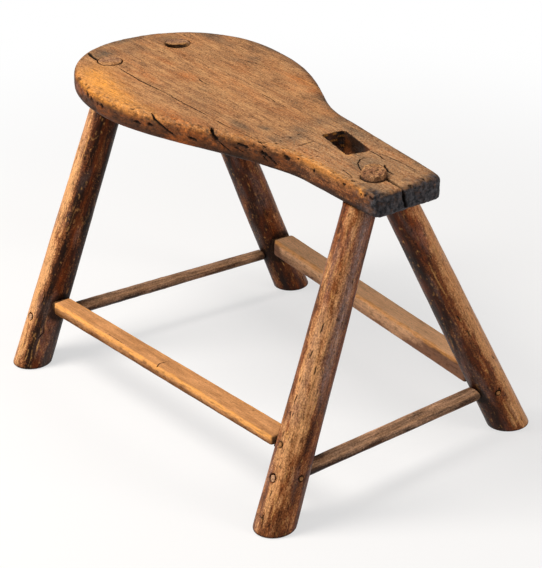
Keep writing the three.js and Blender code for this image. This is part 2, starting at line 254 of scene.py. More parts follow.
# Checks in the two rails.
STRETCHER_CHECKS = {
    "side_stretcher_right": (
        Mark(((20, -208, 100), (20.5, -195, 105.5), (15.8, -187.5, 106), (17.8, -173, 106)), 1.5, 0.9),
        Mark(((196, -168, 108), (202, -160, 108)), 1.6, 0.9),
        Mark(((-110, -197, 105), (-60, -196, 105)), 1, 0.6),
    ),
    "side_stretcher_left": (
        Mark(((-60, 178, 102), (10, 172, 99)), 1, 0.6),
        Mark(((120, 168, 95), (170, 166, 92)), 1.1, 0.7),
    ),
}

# Patches of colour on the seat: where their middle is, how far they reach along and across the
# plank, and how strong they are.
Patch = namedtuple("Patch", "x y along across strength")
# Rubbed patches: bare golden wood rubbed by riders, which also serve as painted highlights on the arrises,
# most on the near-left arris and along the far rim.
RUBBED_AND_HIGHLIGHT_PATCHES = (
    Patch(-238, -118, 32, 22, 0.8),
    Patch(-205, -130, 42, 23, 1),
    Patch(-165, -136, 40, 18, 1),
    Patch(-128, -138, 34, 13, 0.75),
    Patch(-90, -130, 26, 9, 0.4),
    Patch(-255, -95, 26, 16, 0.35),
    Patch(30, 108, 70, 6, 0.35),
    Patch(194, -4, 10, 4, 0.9),
    Patch(200, -58, 60, 7, 0.35),
    Patch(292, -60, 9, 7, 0.8),
)
WARM_PATCHES = (
    Patch(-45, -116, 44, 10, 1),
    Patch(-10, -100, 26, 9, 0.6),
    Patch(-158, -14, 18, 9, 0.75),
    Patch(-212, -7, 16, 7, 0.6),
    Patch(-47, 101, 24, 13, 0.85),
    Patch(-5, 97, 10, 9, 0.8),
    Patch(-280, -16, 18, 9, 0.5),
    Patch(-130, 60, 30, 10, 0.45),
    Patch(-60, 20, 34, 10, 0.4),
    Patch(-190, -60, 30, 12, 0.45),
    Patch(235, 40, 36, 8, 0.6),
    Patch(190, -45, 40, 9, 0.4),
)
BATTERED_PATCHES = (
    Patch(-225, -150, 40, 9, 0.75),
    Patch(-150, -150, 60, 9, 0.85),
    Patch(-80, -139, 50, 10, 0.9),
    Patch(-20, -122, 50, 14, 1),
    Patch(35, -100, 45, 12, 1),
    Patch(90, -76, 45, 11, 0.9),
    Patch(150, -62, 40, 7, 0.7),
    Patch(300, -58, 22, 10, 0.8),
    Patch(235, -58, 40, 6, 0.5),
)
STAINED_PATCHES = (
    Patch(35, -61, 26, 9, 0.95),
    Patch(64, -40, 13, 7, 0.9),
    Patch(98, -7, 15, 13, 0.75),
    Patch(92, 32, 18, 22, 0.6),
    Patch(107, 62, 20, 14, 0.75),
    Patch(111, -26, 14, 24, 0.7),
    Patch(106, -50, 14, 12, 0.7),
    Patch(-246, -124, 8, 5, 1),
    Patch(-300, -62, 24, 20, 0.95),
    Patch(-290, -20, 26, 24, 0.5),
    Patch(-330, -10, 14, 60, 0.85),
    Patch(-318, -75, 14, 30, 0.6),
    Patch(-270, 108, 50, 14, 0.7),
    Patch(-180, 146, 80, 12, 0.7),
    Patch(-60, 136, 50, 10, 0.6),
    Patch(60, 88, 40, 10, 0.8),
    Patch(-292, 46, 20, 14, 0.7),
    Patch(-150, 99, 22, 9, 0.5),
    Patch(-100, -25, 12, 8, 0.35),
    Patch(-166, 77, 12, 8, 0.35),
    Patch(-60, -60, 60, 26, 0.3),
    Patch(240, 0, 24, 18, 0.75),
    Patch(300, -44, 24, 14, 0.6),
    Patch(160, 48, 60, 7, 0.6),
    Patch(260, 30, 60, 12, 0.35),
)

# Marks on the legs, as (angle round the leg in degrees, height) along each line.
LegMark = namedtuple("LegMark", "line width depth")
LEG_CHECKS = {
    "rear_left": (),
    "rear_right": (
        LegMark(((-66, 118), (-60, 108), (-64, 96)), 2, 1.2),
        LegMark(((-36, 66), (-30, 56), (-42, 48)), 2.2, 1.2),
    ),
    "front_left": (
        LegMark(((-24, 206), (-20, 196)), 2, 1),
        LegMark(((-16, 180), (-12, 168)), 2, 1),
        LegMark(((-4, 78), (-4, 69)), 3, 1.6),
    ),
    "front_right": (
        LegMark(((-103, 22), (-83, 22.6), (-79.6, 28)), 2, 1.4),
        LegMark(((-80, 26), (-79, 11)), 1.8, 1.3),
        LegMark(((-59, 266), (-61, 254)), 2, 1),
        LegMark(((-83, 200), (-85, 191)), 1.8, 1),
        LegMark(((-79, 176), (-83, 166)), 1.8, 1),
        LegMark(((-86, 156), (-84, 146)), 1.6, 0.9),
        LegMark(((-89, 130), (-92, 121)), 1.6, 0.8),
        LegMark(((-70, 232), (-72, 222)), 2, 1),
        LegMark(((-48, 214), (-48, 204)), 2, 1),
        LegMark(((-87, 76), (-80, 72), (-84, 67)), 1.8, 1),
        LegMark(((-76, 58), (-78, 50)), 1.6, 0.8),
    ),
}
LEG_SCRATCHES = {
    "rear_left": (LegMark(((-30, 60), (-24, 50)), 1.4, 0.3),),
    "rear_right": (
        LegMark(((-74, 346), (-72, 330), (-75, 318), (-73, 299), (-67.5, 278)), 2.4, 0.5),
        LegMark(((-71, 252), (-70, 246)), 3, 0.4),
        LegMark(((-64.5, 225), (-65, 217)), 2.6, 0.4),
        LegMark(((-70, 202), (-70, 194)), 2.6, 0.4),
        LegMark(((-82, 80), (-80, 70)), 3.4, 0.5),
        LegMark(((-63, 76), (-62, 66)), 2.4, 0.4),
        LegMark(((-37, 48), (-38, 28)), 1.8, 0.4),
        LegMark(((-61, 32), (-62, 12)), 1.8, 0.4),
        LegMark(((-90, 34), (-88, 18)), 1.8, 0.3),
    ),
    "front_left": (
        LegMark(((-13, 54), (-10, 36), (-6.6, 16)), 2.4, 0.5),
        LegMark(((-6.6, 16), (10, 18), (28, 27)), 2.4, 0.5),
        LegMark(((28, 27), (26, 50), (22, 78)), 1.8, 0.4),
        LegMark(((15, 320), (14, 300)), 2.2, 0.3),
        LegMark(((-31, 296), (-30, 276), (-29, 258), (-24, 236)), 2, 0.4),
        LegMark(((-21, 203), (-19, 195)), 2.6, 0.3),
        LegMark(((-14, 176), (-12, 168)), 2.4, 0.3),
        LegMark(((-25, 109), (-15, 111), (-14, 104)), 2.2, 0.4),
    ),
    "front_right": (
        LegMark(((-79, 133), (-74, 128), (-77, 122), (-82, 127), (-79, 133)), 2, 0.4),
        LegMark(((-64, 306), (-56, 296), (-50, 300)), 1.8, 0.3),
        LegMark(((-26, 176), (-22, 166), (-25, 158)), 1.8, 0.3),
        LegMark(((-62, 60), (-58, 40), (-58, 24)), 1.8, 0.3),
        LegMark(((-50, 88), (-48, 68)), 1.6, 0.3),
        LegMark(((-66, 345), (-70, 330), (-68, 318)), 1.8, 0.3),
    ),
}

# How light each leg's skin is round it, where 0 is its dark brown and 1 its pale one, and how red,
# by angle in degrees. The sides that face out from the stool are pale and those that face in are
# dark, partly from wear and partly as painted light and shade.
LEG_TONES = {
    "rear_left": ((-180, 0.3), (-127, 0.2), (-90, 0), (-40, -0.15), (-5, 0.1),
                  (20, 0.35), (45, 0.5), (120, 0.5), (180, 0.3)),
    "rear_right": ((-180, 0.8), (-127, 1.1), (-92, 1.05), (-74, 0.8), (-60, 0.2),
                   (-46, -0.15), (-10, 0.1), (40, -0.4), (120, 0.2), (180, 0.8)),
    "front_left": ((-180, 0.3), (-127, -0.2), (-80, -0.25), (-55, -0.1), (-30, 0.05),
                   (-5, 0.62), (20, 1.3), (80, 1), (130, 0.5), (180, 0.3)),
    "front_right": ((-180, 0.4), (-127, 0.4), (-95, 0.62), (-65, 0.88), (-37, 0.85),
                    (-18, 0.5), (10, 0.28), (50, 0), (120, 0.2), (180, 0.4)),
}
LEG_REDNESS = {
    "rear_left": ((-180, 0.2), (-70, 0.2), (0, 0.6), (60, 0.3), (180, 0.2)),
    "rear_right": ((-180, 0.05), (-70, 0), (-40, 0), (-24, 0.85), (-6, 0.3), (30, 0), (180, 0.05)),
    "front_left": ((-180, 0.1), (-60, 0.2), (-38, 0.5), (-10, 0.5), (40, 0.5), (180, 0.2)),
    "front_right": ((-180, 0.2), (-60, 0.25), (-10, 0.35), (25, 0.6), (60, 0.4), (180, 0.2)),
}

# One layer of a finish: the attribute that says where it lies, its colour, how much of it there
# is, how patchy it is and the grain that breaks it up.
Layer = namedtuple("Layer", "mask colour strength patchiness grain")

# How much of each kind of grain a wood shows, and its roughness where it is polished and where
# it isn't.
Look = namedtuple("Look", "mottle streak speckle dashes polished dull")
SEAT_LOOK = Look(0.3, 0.22, 0.2, 0.5, 0.45, 0.62)
LEG_LOOK = Look(0.24, 0.24, 0.24, 0.6, 0.36, 0.52)
PEG_LOOK = Look(0.2, 0.15, 0.2, 0.2, 0.55, 0.7)

# The noises of the grain: how long and how wide their lumps are in millimetres, their detail
# and their roughness.
GRAINS = {
    "mottle": (42, 10, 4, 0.6),
    "fibres": (70, 1.5, 3, 0.6),
    "bands": (150, 9, 2, 0.5),
    "streaks": (44, 2.4, 3, 0.6),
    "speckle": (2.6, 2.0, 3, 0.7),
    "pores": (8, 1.9, 2, 0.6),
    "dashes": (30, 2.2, 2, 0.55),
    "flecks": (3.4, 2, 2, 0.6),
    "scuffs": (14, 4.5, 4, 0.65),
    "crust": (5, 5, 3, 0.6),
}

# What every wood reads from its mesh, and the shades of the grain that its colour is multiplied by.
MASKS = ("tone", "charred", "grime_and_shade", "pith", "end_grain")
SHADES = ("line_shade", "fibre_shade", "dirt_shade", "pore_shade", "dash_shade", "fleck_shade")

# The width of a year ring in millimetres, and the colours of burnt wood, the ash on it, and dirt,
# which also paints shade round the feet, at the proud head's foot and below the stretchers' joints.
YEAR_RING = 2.2
SOOT, ASH, DIRT_AND_SHADE = "#181b20", "#49474b", "#160e09"

# Each stretcher's finish: its wood's name, the settings that hold its shade and its colour, the
# colour of its rubbed arrises and their painted highlight, its look and its slot.
Finish = namedtuple("Finish", "wood shade colour rubbed look slot")
ROD_LOOK = Look(0.42, 0.36, 0.2, 0.35, 0.45, 0.62)
STRETCHER_FINISHES = {
    "side_stretcher_right": Finish(
        "dry_golden_ash_rail", "golden_shade", "golden", "#eda655",
        Look(0.2, 0.12, 0.08, 0.3, 0.5, 0.66), "golden_stretcher_wood"),
    "side_stretcher_left": Finish(
        "dry_tan_beech_rail", "tan_shade", "tan", "#d9954f",
        Look(0.22, 0.1, 0.1, 0.3, 0.5, 0.66), "tan_stretcher_wood"),
    "cross_stretcher_rear": Finish(
        "grimy_hewn_ash_cross_stretcher_rear", "rod_shade", "rod", "#b98a60", ROD_LOOK, "rod_wood"),
    "cross_stretcher_front": Finish(
        "grimy_hewn_ash_cross_stretcher_front", "rod_shade", "rod", "#b98a60", ROD_LOOK, "rod_wood"),
}

# The lamps: how far each is to the picture's right, toward the camera and up from the floor, and
# its size, in metres, its power in watts and its tint.
Lamp = namedtuple("Lamp", "right toward up size watts tint")
LAMPS = {
    "key_lamp": Lamp(-1.3, 0.2, 2.3, 1.3, 58, "#fffaf2"),
    "left_lamp": Lamp(-2.3, 0.6, 1.0, 1.2, 32, "#fff6ea"),
    "right_lamp": Lamp(2.0, 1.0, 1.3, 0.9, 18, "#fff7ee"),
}


# Settings that a user would change.

def to_linear(code):
    """An sRGB hex colour such as "#bd8960" as the linear colour that a shader works with."""
    channels = [int(code[place:place + 2], 16) / 255 for place in (1, 3, 5)]
    return tuple(c / 12.92 if c <= 0.04045 else ((c + 0.055) / 1.055) ** 2.4 for c in channels)


def length(name, description, default_mm):
    return bpy.props.FloatProperty(
        name=name, description=description, default=default_mm * MM, unit="LENGTH", precision=4)


def number(name, description, default):
    return bpy.props.FloatProperty(name=name, description=description, default=default)


def angle(name, description, degrees):
    return bpy.props.FloatProperty(
        name=name, description=description, default=math.radians(degrees), unit="ROTATION")


def colour(name, description, code):
    return bpy.props.FloatVectorProperty(
        name=name, description=description, default=to_linear(code), size=3, subtype="COLOR", min=0, max=1)


class StoolSeatSettings(bpy.types.PropertyGroup):
    mesh_step: length("Mesh step", "Spacing of the seat's fine mesh", 2.3)
    mortise_length: length("Mortise length", "Length of the clamp's mortise", 73)
    mortise_width: length("Mortise width", "Width of the clamp's mortise", 34)
    mortise_turn: angle("Mortise turn", "How far the mortise lies askew", -11)
    tenon_gap: length("Tenon gap", "Width of the shrinkage gap round each leg's tenon", 1)
    pale: colour("Pale wood", "Where the top is rubbed but clean", "#c18d5c")
    brown: colour("Brown wood", "The top's usual colour", "#9d6b44")
    # The dark wood is old grime, and also the painted shade low on the plank's sides.
    dark: colour("Dark wood", "Old grime on the sides", "#28160a")
    warm: colour("Warm patches", "Where wax has soaked in", "#bd6420")
    # The rubbed colour is bare golden wood, and also the painted highlight on the arrises.
    rubbed: colour("Rubbed arris", "Bare golden wood on the worn arris", "#ee9d3e")
    stain_and_sheen: colour("Stain", "Grey water and iron stains", "#463c35")


class StoolLegSettings(bpy.types.PropertyGroup):
    mesh_step: length("Mesh step", "Spacing of the legs' fine mesh", 1.5)
    foot_rounding: length("Foot rounding", "Radius of the worn edge under each foot", 3.2)
    # The pale and dark skins are worn and stained wood, and also painted light on the sides that face out and
    # painted shade on those that face in.
    pale: colour("Pale skin", "Sides that face out, worn pale", "#cf9865")
    brown: colour("Brown skin", "The usual colour of the skin", "#7d4a28")
    dark: colour("Dark skin", "Sides that face in", "#220f06")
    red: colour("Red skin", "Reddish wax and bark stains", "#8f4213")
    rubbed: colour("Scratches", "Pale wood bared by scratches", "#cf9859")


class StoolStretcherSettings(bpy.types.PropertyGroup):
    mesh_step: length("Mesh step", "Spacing of the stretchers' fine mesh", 1.5)
    board_rounding: number("Board corner", "Share of a rail's section that each worn corner takes", 0.12)
    rod_rounding: number("Rod corner", "Share of a rod's section that each hewn corner takes", 0.29)
    cope_gap: length("Cope gap", "Gap between a stretcher's end and its leg", 0.6)
    # Each pale colour also carries painted light on top, and each shade colour is darker grain and grime and
    # also the painted shade down the sides and underneath.
    golden: colour("Golden rail", "The rider's right rail", "#dea06a")
    golden_shade: colour("Golden rail's shade", "Darker grain of the right rail", "#613a16")
    tan: colour("Tan rail", "The rider's left rail", "#eeb98c")
    tan_shade: colour("Tan rail's shade", "Darker grain of the left rail", "#7a5642")
    rod: colour("Rods", "The hewn cross rods", "#c79b7a")
    rod_shade: colour("Rods' shade", "Grime in the rods' grain", "#2c1d17")


class StoolPegSettings(bpy.types.PropertyGroup):
    radius: length("Radius", "Radius of each peg", 3.5)
    proud: length("Proud", "How far a peg stands out of its leg", 0.6)
    wood: colour("Peg wood", "Whittled pegs, end grain showing", "#a87648")
    shade: colour("Peg shade", "Grime in the end grain", "#4e321f")


class StoolStageSettings(bpy.types.PropertyGroup):
    azimuth: angle("Azimuth", "Where the camera stands round the stool", 53.154)
    elevation: angle("Elevation", "Height of the camera over the horizon", 27.039)
    distance: length("Distance", "From the camera to the point it looks at", 3135.4)
    target: bpy.props.FloatVectorProperty(
        name="Target", description="Point that the camera looks at", default=(0.02234, 0.00124, 0.17442),
        subtype="TRANSLATION")
    focal_length: number("Focal length", "The lens's focal length in millimetres", 139.44)
    floor_colour: colour("Floor", "Pale paper floor", "#e4e4e6")
    floor_glow: number("Floor glow", "Share of plain white in what the camera sees of the floor", 0.6)
    room_light: number("Room light", "Strength of the even light from all round", 0.23)


SETTINGS = {
    "stool_seat": StoolSeatSettings,
    "stool_legs": StoolLegSettings,
    "stool_stretchers": StoolStretcherSettings,
    "stool_pegs": StoolPegSettings,
    "stool_stage": StoolStageSettings,
}


# Solids, as bmeshes in millimetres.

def rod(start, end, start_radius, end_radius, sides):
    """A round rod between two points, tapering from one radius to the other."""
    run = end - start
    bm = bmesh.new()
    bmesh.ops.create_cone(
        bm, cap_ends=True, segments=sides, radius1=start_radius, radius2=end_radius, depth=run.length)
    place = Matrix.Translation((start + end) / 2) @ run.to_track_quat("Z", "Y").to_matrix().to_4x4()
    bmesh.ops.transform(bm, matrix=place, verts=bm.verts)
    return bm


def holder_of(bm, name):
    """Puts a bmesh into an object of its own in the scene, and frees it."""
    mesh = bpy.data.meshes.new(name)
    bm.to_mesh(mesh)
    bm.free()
    holder = bpy.data.objects.new(name, mesh)
    bpy.context.scene.collection.objects.link(holder)
    return holder


def mesh_after_modifiers(holder):
    """The object's mesh with its modifiers applied. The object itself goes."""
    bpy.context.view_layer.update()
    evaluated = holder.evaluated_get(bpy.context.evaluated_depsgraph_get())
    mesh = bpy.data.meshes.new_from_object(evaluated)
    bpy.data.objects.remove(holder)
    return mesh


def bmesh_of(mesh):
    """The mesh as a bmesh. The mesh itself goes."""
    bm = bmesh.new()
    bm.from_mesh(mesh)
    bpy.data.meshes.remove(mesh)
    return bm


def combined(body, other, operation):
    """Two solids cut or crossed. Both bmeshes are used up."""
    holder = holder_of(body, "body")
    tool = holder_of(other, "tool")
    cut = holder.modifiers.new("cut", "BOOLEAN")
    cut.operation = operation
    cut.solver = "EXACT"
    cut.object = tool
    mesh = mesh_after_modifiers(holder)
    bpy.data.objects.remove(tool)
    return bmesh_of(mesh)


def joined(body, other):
    """Two solids that overlap, put together as they are: the fine mesh runs round both."""
    mesh = bpy.data.meshes.new("other")
    other.to_mesh(mesh)
    other.free()
    body.from_mesh(mesh)
    bpy.data.meshes.remove(mesh)
    return body


def bevelled(bm, edges, offset, segments=3):
    bmesh.ops.bevel(
        bm, geom=edges, offset=offset, offset_type="OFFSET", segments=segments, profile=0.5, affect="EDGES",
        material=-1)


def fine_mesh(body, step):
    """The solid's surface as an even mesh of small squares, ready for carving."""
    holder = holder_of(body, "body")
    even = holder.modifiers.new("even", "REMESH")
    even.mode = "VOXEL"
    even.voxel_size = step
    return bmesh_of(mesh_after_modifiers(holder))


# Noise and marks on a surface's points, in millimetres.

def smoothstep(values, low, high):
    share = np.clip((values - low) / (high - low), 0, 1)
    return share * share * (3 - 2 * share)


def lumps(points, size, seed):
    """Smooth noise, from about -1 to 1, whose lumps are about size across."""
    moved = points / np.asarray(size, float) + seed * 13.7
    return np.array([noise.noise(place) for place in moved.tolist()])


def jittered(points, reach, size, seed):
    """The points shaken a little, so that a mark measured from them runs unevenly."""
    shaken = [lumps(points, size, seed + axis) for axis in range(3)]
    return points + reach * np.stack(shaken, axis=1)


def nearest(points, line):
    """Each point's distance from a line of points, and the share of the line before that place."""
    line = np.asarray(line, float)
    if len(line) == 1:
        return np.linalg.norm(points - line[0], axis=1), np.full(len(points), 0.5)
    runs = np.diff(line, axis=0)
    lengths = np.linalg.norm(runs, axis=1)
    before = np.concatenate([[0], np.cumsum(lengths)]) / lengths.sum()
    best = np.full(len(points), np.inf)
    share = np.zeros(len(points))
    for index, run in enumerate(runs):
        along = np.clip((points - line[index]) @ run / lengths[index] ** 2, 0, 1)
        distance = np.linalg.norm(points - line[index] - along[:, None] * run, axis=1)
        closer = distance < best
        best[closer] = distance[closer]
        share[closer] = (before[index] + along * lengths[index] / lengths.sum())[closer]
    return best, share


def boxed(points, line, reach):
    """Which points lie in the box round a line, so that only those are measured."""
    return np.all((points > line.min(0) - reach) & (points < line.max(0) + reach), axis=1)


def cut_by(points, marks, sharp=True):
    """How deep the marks cut at each point, and how dark they leave it, from 0 to 1."""
    depth = np.zeros(len(points))
    dark = np.zeros(len(points))
    for mark in marks:
        line = np.asarray(mark.line, float)
        near = boxed(points, line, mark.width + 1)
        if not near.any():
            continue
        distance, share = nearest(points[near], line)
        taper = 1 if len(line) == 1 else 0.35 + 0.65 * smoothstep(np.minimum(share, 1 - share), 0, 0.2)
        half = mark.width / 2 * taper
        profile = np.clip(1 - distance / half, 0, 1)
        if sharp:
            shape = smoothstep(profile, -0.2, 0.6) * (profile > 0)
            inside = 1 - smoothstep(distance, 0.75 * half, half + 0.14 * mark.width)
        else:
            shape = smoothstep(profile, 0, 0.8)
            inside = smoothstep(profile, 0, 0.25)
        depth[near] = np.maximum(depth[near], mark.depth * shape)
        dark[near] = np.maximum(dark[near], inside)
    return depth, dark


def patched(points, patches):
    """How strongly the patches colour each point of the plank, from 0 to 1."""
    strength = np.zeros(len(points))
    for patch in patches:
        away = ((points[:, 0] - patch.x) / patch.along) ** 2 + ((points[:, 1] - patch.y) / patch.across) ** 2
        strength = np.maximum(strength, patch.strength * np.exp(-away))
    return strength


def refined(bm, marks, rounds):
    """Halves the edges that lie near the marks, so that narrow ones come out as real cuts."""
    for _ in range(rounds):
        middles = np.array([(edge.verts[0].co + edge.verts[1].co) / 2 for edge in bm.edges])
        chosen = np.zeros(len(middles), bool)
        for mark in marks:
            line = np.asarray(mark.line, float)
            reach = mark.width / 2 + 2
            near = boxed(middles, line, reach)
            if near.any():
                chosen[near] |= nearest(middles[near], line)[0] < reach
        edges = [edge for edge, picked in zip(bm.edges, chosen) if picked]
        bmesh.ops.subdivide_edges(bm, edges=edges, cuts=1, use_grid_fill=True)
        bmesh.ops.triangulate(bm, faces=[face for face in bm.faces if len(face.verts) > 4])
    return bm


def carved(name, bm, carve):
    """Moves the points of a fine mesh to where carve says, and stores the masks that it gives for
    the finish. carve gets the points and their normals."""
    mesh = bpy.data.meshes.new(name)
    bm.to_mesh(mesh)
    bm.free()
    count = len(mesh.vertices)
    points = np.zeros(count * 3)
    normals = np.zeros(count * 3)
    mesh.vertices.foreach_get("co", points)
    mesh.vertex_normals.foreach_get("vector", normals)
    points = points.reshape(-1, 3)
    normals = normals.reshape(-1, 3)
    moved, masks = carve(points, normals)
    mesh.vertices.foreach_set("co", (moved * MM).ravel())
    for mask, values in masks.items():
        layer = mesh.attributes.new(mask, "FLOAT", "POINT")
        layer.data.foreach_set("value", np.asarray(values, np.float32))
    mesh.shade_smooth()
    mesh.update()
    return mesh


def finished(name, node, mesh, material):
    """Shows the mesh as the piece that stands for a node of the frame."""
    mesh.materials.append(material)
    piece = bpy.data.objects.new(name, mesh)
    bpy.context.scene.collection.objects.link(piece)
    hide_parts(node)
    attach(piece, "root")
    return piece


# The seat.

def edge_curve(start, pull_out, pull_in, end, steps):
    return interpolate_bezier(start, pull_out, pull_in, end, steps + 1)[:-1]


def neck_corner(before, corner, after):
    entry = corner + (before - corner).normalized() * NECK_CORNER
    leave = corner + (after - corner).normalized() * NECK_CORNER
    bend = edge_curve(entry, entry.lerp(corner, 2 / 3), leave.lerp(corner, 2 / 3), leave, NECK_CORNER_STEPS)
    return bend + [leave]


def flare(edge):
    """Handles of the curve from the neck's start out to the widest place."""
    along_neck = (edge["neck_start"] - edge["neck_end"]).normalized()
    at_widest = edge["widest"] + Vector((edge["flare_pull"], 0))
    return edge["neck_start"] + along_neck * edge["waist_pull"], at_widest


def seat_outline():
    """The plank's outline, counterclockwise from the start of the neck's right edge."""
    left, right = LEFT_EDGE, RIGHT_EDGE
    left_waist, left_flare = flare(left)
    right_waist, right_flare = flare(right)
    tip_left = SEAT_TIP + Vector((0, TIP_PULL))
    tip_right = SEAT_TIP - Vector((0, TIP_PULL))
    left_round = left["widest"] - Vector((left["round_pull"], 0))
    right_round = right["widest"] - Vector((right["round_pull"], 0))
    outline = [right["neck_start"]]
    outline += neck_corner(right["neck_start"], right["neck_end"], left["neck_end"])
    outline += neck_corner(right["neck_end"], left["neck_end"], left["neck_start"])
    outline += edge_curve(left["neck_start"], left_waist, left_flare, left["widest"], EDGE_STEPS)
    outline += edge_curve(left["widest"], left_round, tip_left, SEAT_TIP, EDGE_STEPS)
    outline += edge_curve(SEAT_TIP, tip_right, right_round, right["widest"], EDGE_STEPS)
    outline += edge_curve(right["widest"], right_flare, right_waist, right["neck_start"], EDGE_STEPS)
    return [Vector(spot[:2]) for spot in outline]


def rounding_at(rounding, x):
    """The arris's radius, which is least along the neck and grows again at its burnt end."""
    share = float(smoothstep(np.array(x), *ROUNDING_CHANGE))
    at_end = float(smoothstep(np.array(x), *BURNT_END))
    return rounding["wide"] + (rounding["neck"] - rounding["wide"]) * share + BURNT_END_ROUNDING * at_end


def arris_place(outline, index, quarter, is_top):
    """A point of the plank's arris, which turns from upright (quarter 0) to the flat face (1)."""
    spot = outline[index]
    along = outline[(index + 1) % len(outline)] - outline[index - 1]
    outward = Vector((along.y, -along.x)).normalized()
    radius = rounding_at(TOP_ROUNDING if is_top else UNDERSIDE_ROUNDING, spot.x)
    angle = quarter * math.pi / 2
    at = spot - outward * radius * (1 - math.cos(angle))
    from_face = radius * (1 - math.sin(angle))
    height = SEAT_TOP - from_face if is_top else SEAT_UNDERSIDE + from_face
    return Vector((at.x, at.y, height))


def seat_blank():
    """The plank before it is cut: rings of its outline, drawn up from the underside to the top."""
    outline = seat_outline()
    bm = bmesh.new()
    place = bm.verts.layers.int.new("place")
    ring_verts = []
    for index in range(len(outline)):
        vert = bm.verts.new(arris_place(outline, index, 1, False))
        vert[place] = index
        ring_verts.append(vert)
    ring = [bm.edges.new((vert, ring_verts[index - 1])) for index, vert in enumerate(ring_verts)]
    bmesh.ops.contextual_create(bm, geom=ring)
    rises = [(step / ROUNDING_STEPS, False) for step in range(ROUNDING_STEPS - 1, -1, -1)]
    rises += [(step / ROUNDING_STEPS, True) for step in range(ROUNDING_STEPS + 1)]
    for quarter, is_top in rises:
        made = bmesh.ops.extrude_edge_only(bm, edges=ring)["geom"]
        fresh = {part for part in made if isinstance(part, bmesh.types.BMVert)}
        for vert in fresh:
            vert.co = arris_place(outline, vert[place], quarter, is_top)
        edges = [part for part in made if isinstance(part, bmesh.types.BMEdge)]
        ring = [edge for edge in edges if fresh.issuperset(edge.verts)]
    bmesh.ops.contextual_create(bm, geom=ring)
    bmesh.ops.recalc_face_normals(bm, faces=bm.faces)
    return bm


def mortise_cutter(settings):
    """What the clamp's mortise takes out, worn round in its upright corners."""
    size = Vector((settings.mortise_length, settings.mortise_width, 0)) / MM
    low, high = SEAT_UNDERSIDE - OVERRUN, SEAT_TOP + OVERRUN
    bm = bmesh.new()
    bmesh.ops.create_cube(bm, size=1)
    bmesh.ops.scale(bm, vec=(size.x, size.y, high - low), verts=bm.verts)
    bmesh.ops.translate(bm, vec=(0, 0, (low + high) / 2), verts=bm.verts)
    uprights = [edge for edge in bm.edges if abs(edge.verts[0].co.z - edge.verts[1].co.z) > 1]
    bevelled(bm, uprights, MORTISE_CORNER)
    turn = Matrix.Translation(MORTISE_CENTRE.to_3d()) @ Matrix.Rotation(settings.mortise_turn, 4, "Z")
    bmesh.ops.transform(bm, matrix=turn, verts=bm.verts)
    return bm


def distance_in(points):
    """How far each point lies inside the plank's outline, seen from above."""
    outline = np.array([tuple(spot) for spot in seat_outline()])
    closed = np.vstack([outline, outline[:1]])
    return nearest(points[:, :2], closed)[0]


def in_mortise_frame(points, settings):
    """Each point's place along and across the mortise, from the mortise's middle."""
    turn = settings.mortise_turn
    away = points[:, :2] - np.array(MORTISE_CENTRE)
    along = away @ np.array([math.cos(turn), math.sin(turn)])
    across = away @ np.array([-math.sin(turn), math.cos(turn)])
    return along, across


def charred_share(points):
    """How burnt the neck's end is: most at its two corners, and over the arris onto the top."""
    x, y, z = points.T
    near_corner = np.exp(-((x - 334) / 36) ** 2 - ((y + 66) / 28) ** 2)
    far_corner = np.exp(-((x - 334) / 22) ** 2 - ((y - 34) / 42) ** 4)
    on_end = smoothstep(x, 317, 326) * (1 - smoothstep(z, 434, 440))
    burnt = 1.2 * np.maximum(np.maximum(near_corner, far_corner), on_end)
    patchy = 0.55 * lumps(points, (13, 13, 13), 31) + 0.35 * lumps(points, (4.5, 4.5, 4.5), 32)
    return np.clip(burnt + patchy * (burnt > 0.08) - 0.1, 0, 1)


def seat_places(points, normals, settings):
    """Shares from 0 to 1 that say which part of the plank each point belongs to."""
    x, y = points[:, 0], points[:, 1]
    up = normals[:, 2]
    along, across = in_mortise_frame(points, settings)
    past_end = np.abs(along) - settings.mortise_length / MM / 2
    past_side = np.abs(across) - settings.mortise_width / MM / 2
    side = 1 - smoothstep(np.abs(up), 0.35, 0.9)
    in_mortise = side * (past_end < 1.2) * (past_side < 1.2)
    outside = np.hypot(np.maximum(past_end, 0), np.maximum(past_side, 0))
    return {
        "inside": distance_in(points),
        "top": smoothstep(up, 0.5, 0.95),
        "side": side,
        "under": smoothstep(-up, 0.5, 0.9),
        "near": smoothstep(-y, 20, 60),
        "neck": smoothstep(x, 60, 170),
        "mortise": in_mortise,
        "rear_wall": in_mortise * smoothstep(past_end, -3, -0.5) * (along < 0),
        "far_wall": in_mortise * smoothstep(past_side, -3, -0.5) * (across > 0),
        "lip": np.exp(-(outside / 3) ** 2) * smoothstep(up, 0.3, 0.8),
        "burnt": charred_share(points),
    }


def arris_pits(points, place):
    """Small pits that have broken out of the worn arris, most on the rider's right."""
    battered = smoothstep(lumps(points, (8, 5, 4), 12), 0.18, 0.45)
    on_arris = np.exp(-((place["inside"] - 5) / 7) ** 2) * smoothstep(points[:, 2], 412, 424)
    reach = np.maximum(on_arris, 0.55 * place["side"] * (1 - place["mortise"]))
    return battered * reach * (0.35 + 0.65 * place["near"])


def seat_depth(points, place, pits):
    """How far wear has taken each point of the plank in, not counting checks and knocks."""
    x, z = points[:, 0], points[:, 2]
    depth = 0.5 + 0.35 * lumps(points, (90, 40, 40), 9) + 0.22 * lumps(points, (30, 12, 12), 10)
    depth += 0.1 * lumps(points, (24, 2.6, 2.6), 11) + 1.1 * pits
    depth += place["burnt"] * np.clip(0.9 + 1.6 * lumps(points, (6, 6, 5), 13), 0, 2.4)
    depth += place["under"] * (0.3 * lumps(points, (60, 18, 20), 14) + 0.2)
    depth += place["rear_wall"] * (1 + 1.6 * lumps(points, (12, 9, 3), 15))
    depth -= place["far_wall"] * (x < 170) * 4 * smoothstep(-z, -426, -409)
    depth += place["lip"] * np.clip(0.9 + 1.4 * lumps(points, (7, 5, 5), 18), 0, 2.5)
    depth -= patched(points, (Patch(240, 2, 13, 11, 1.6),)) * place["top"]
    return depth


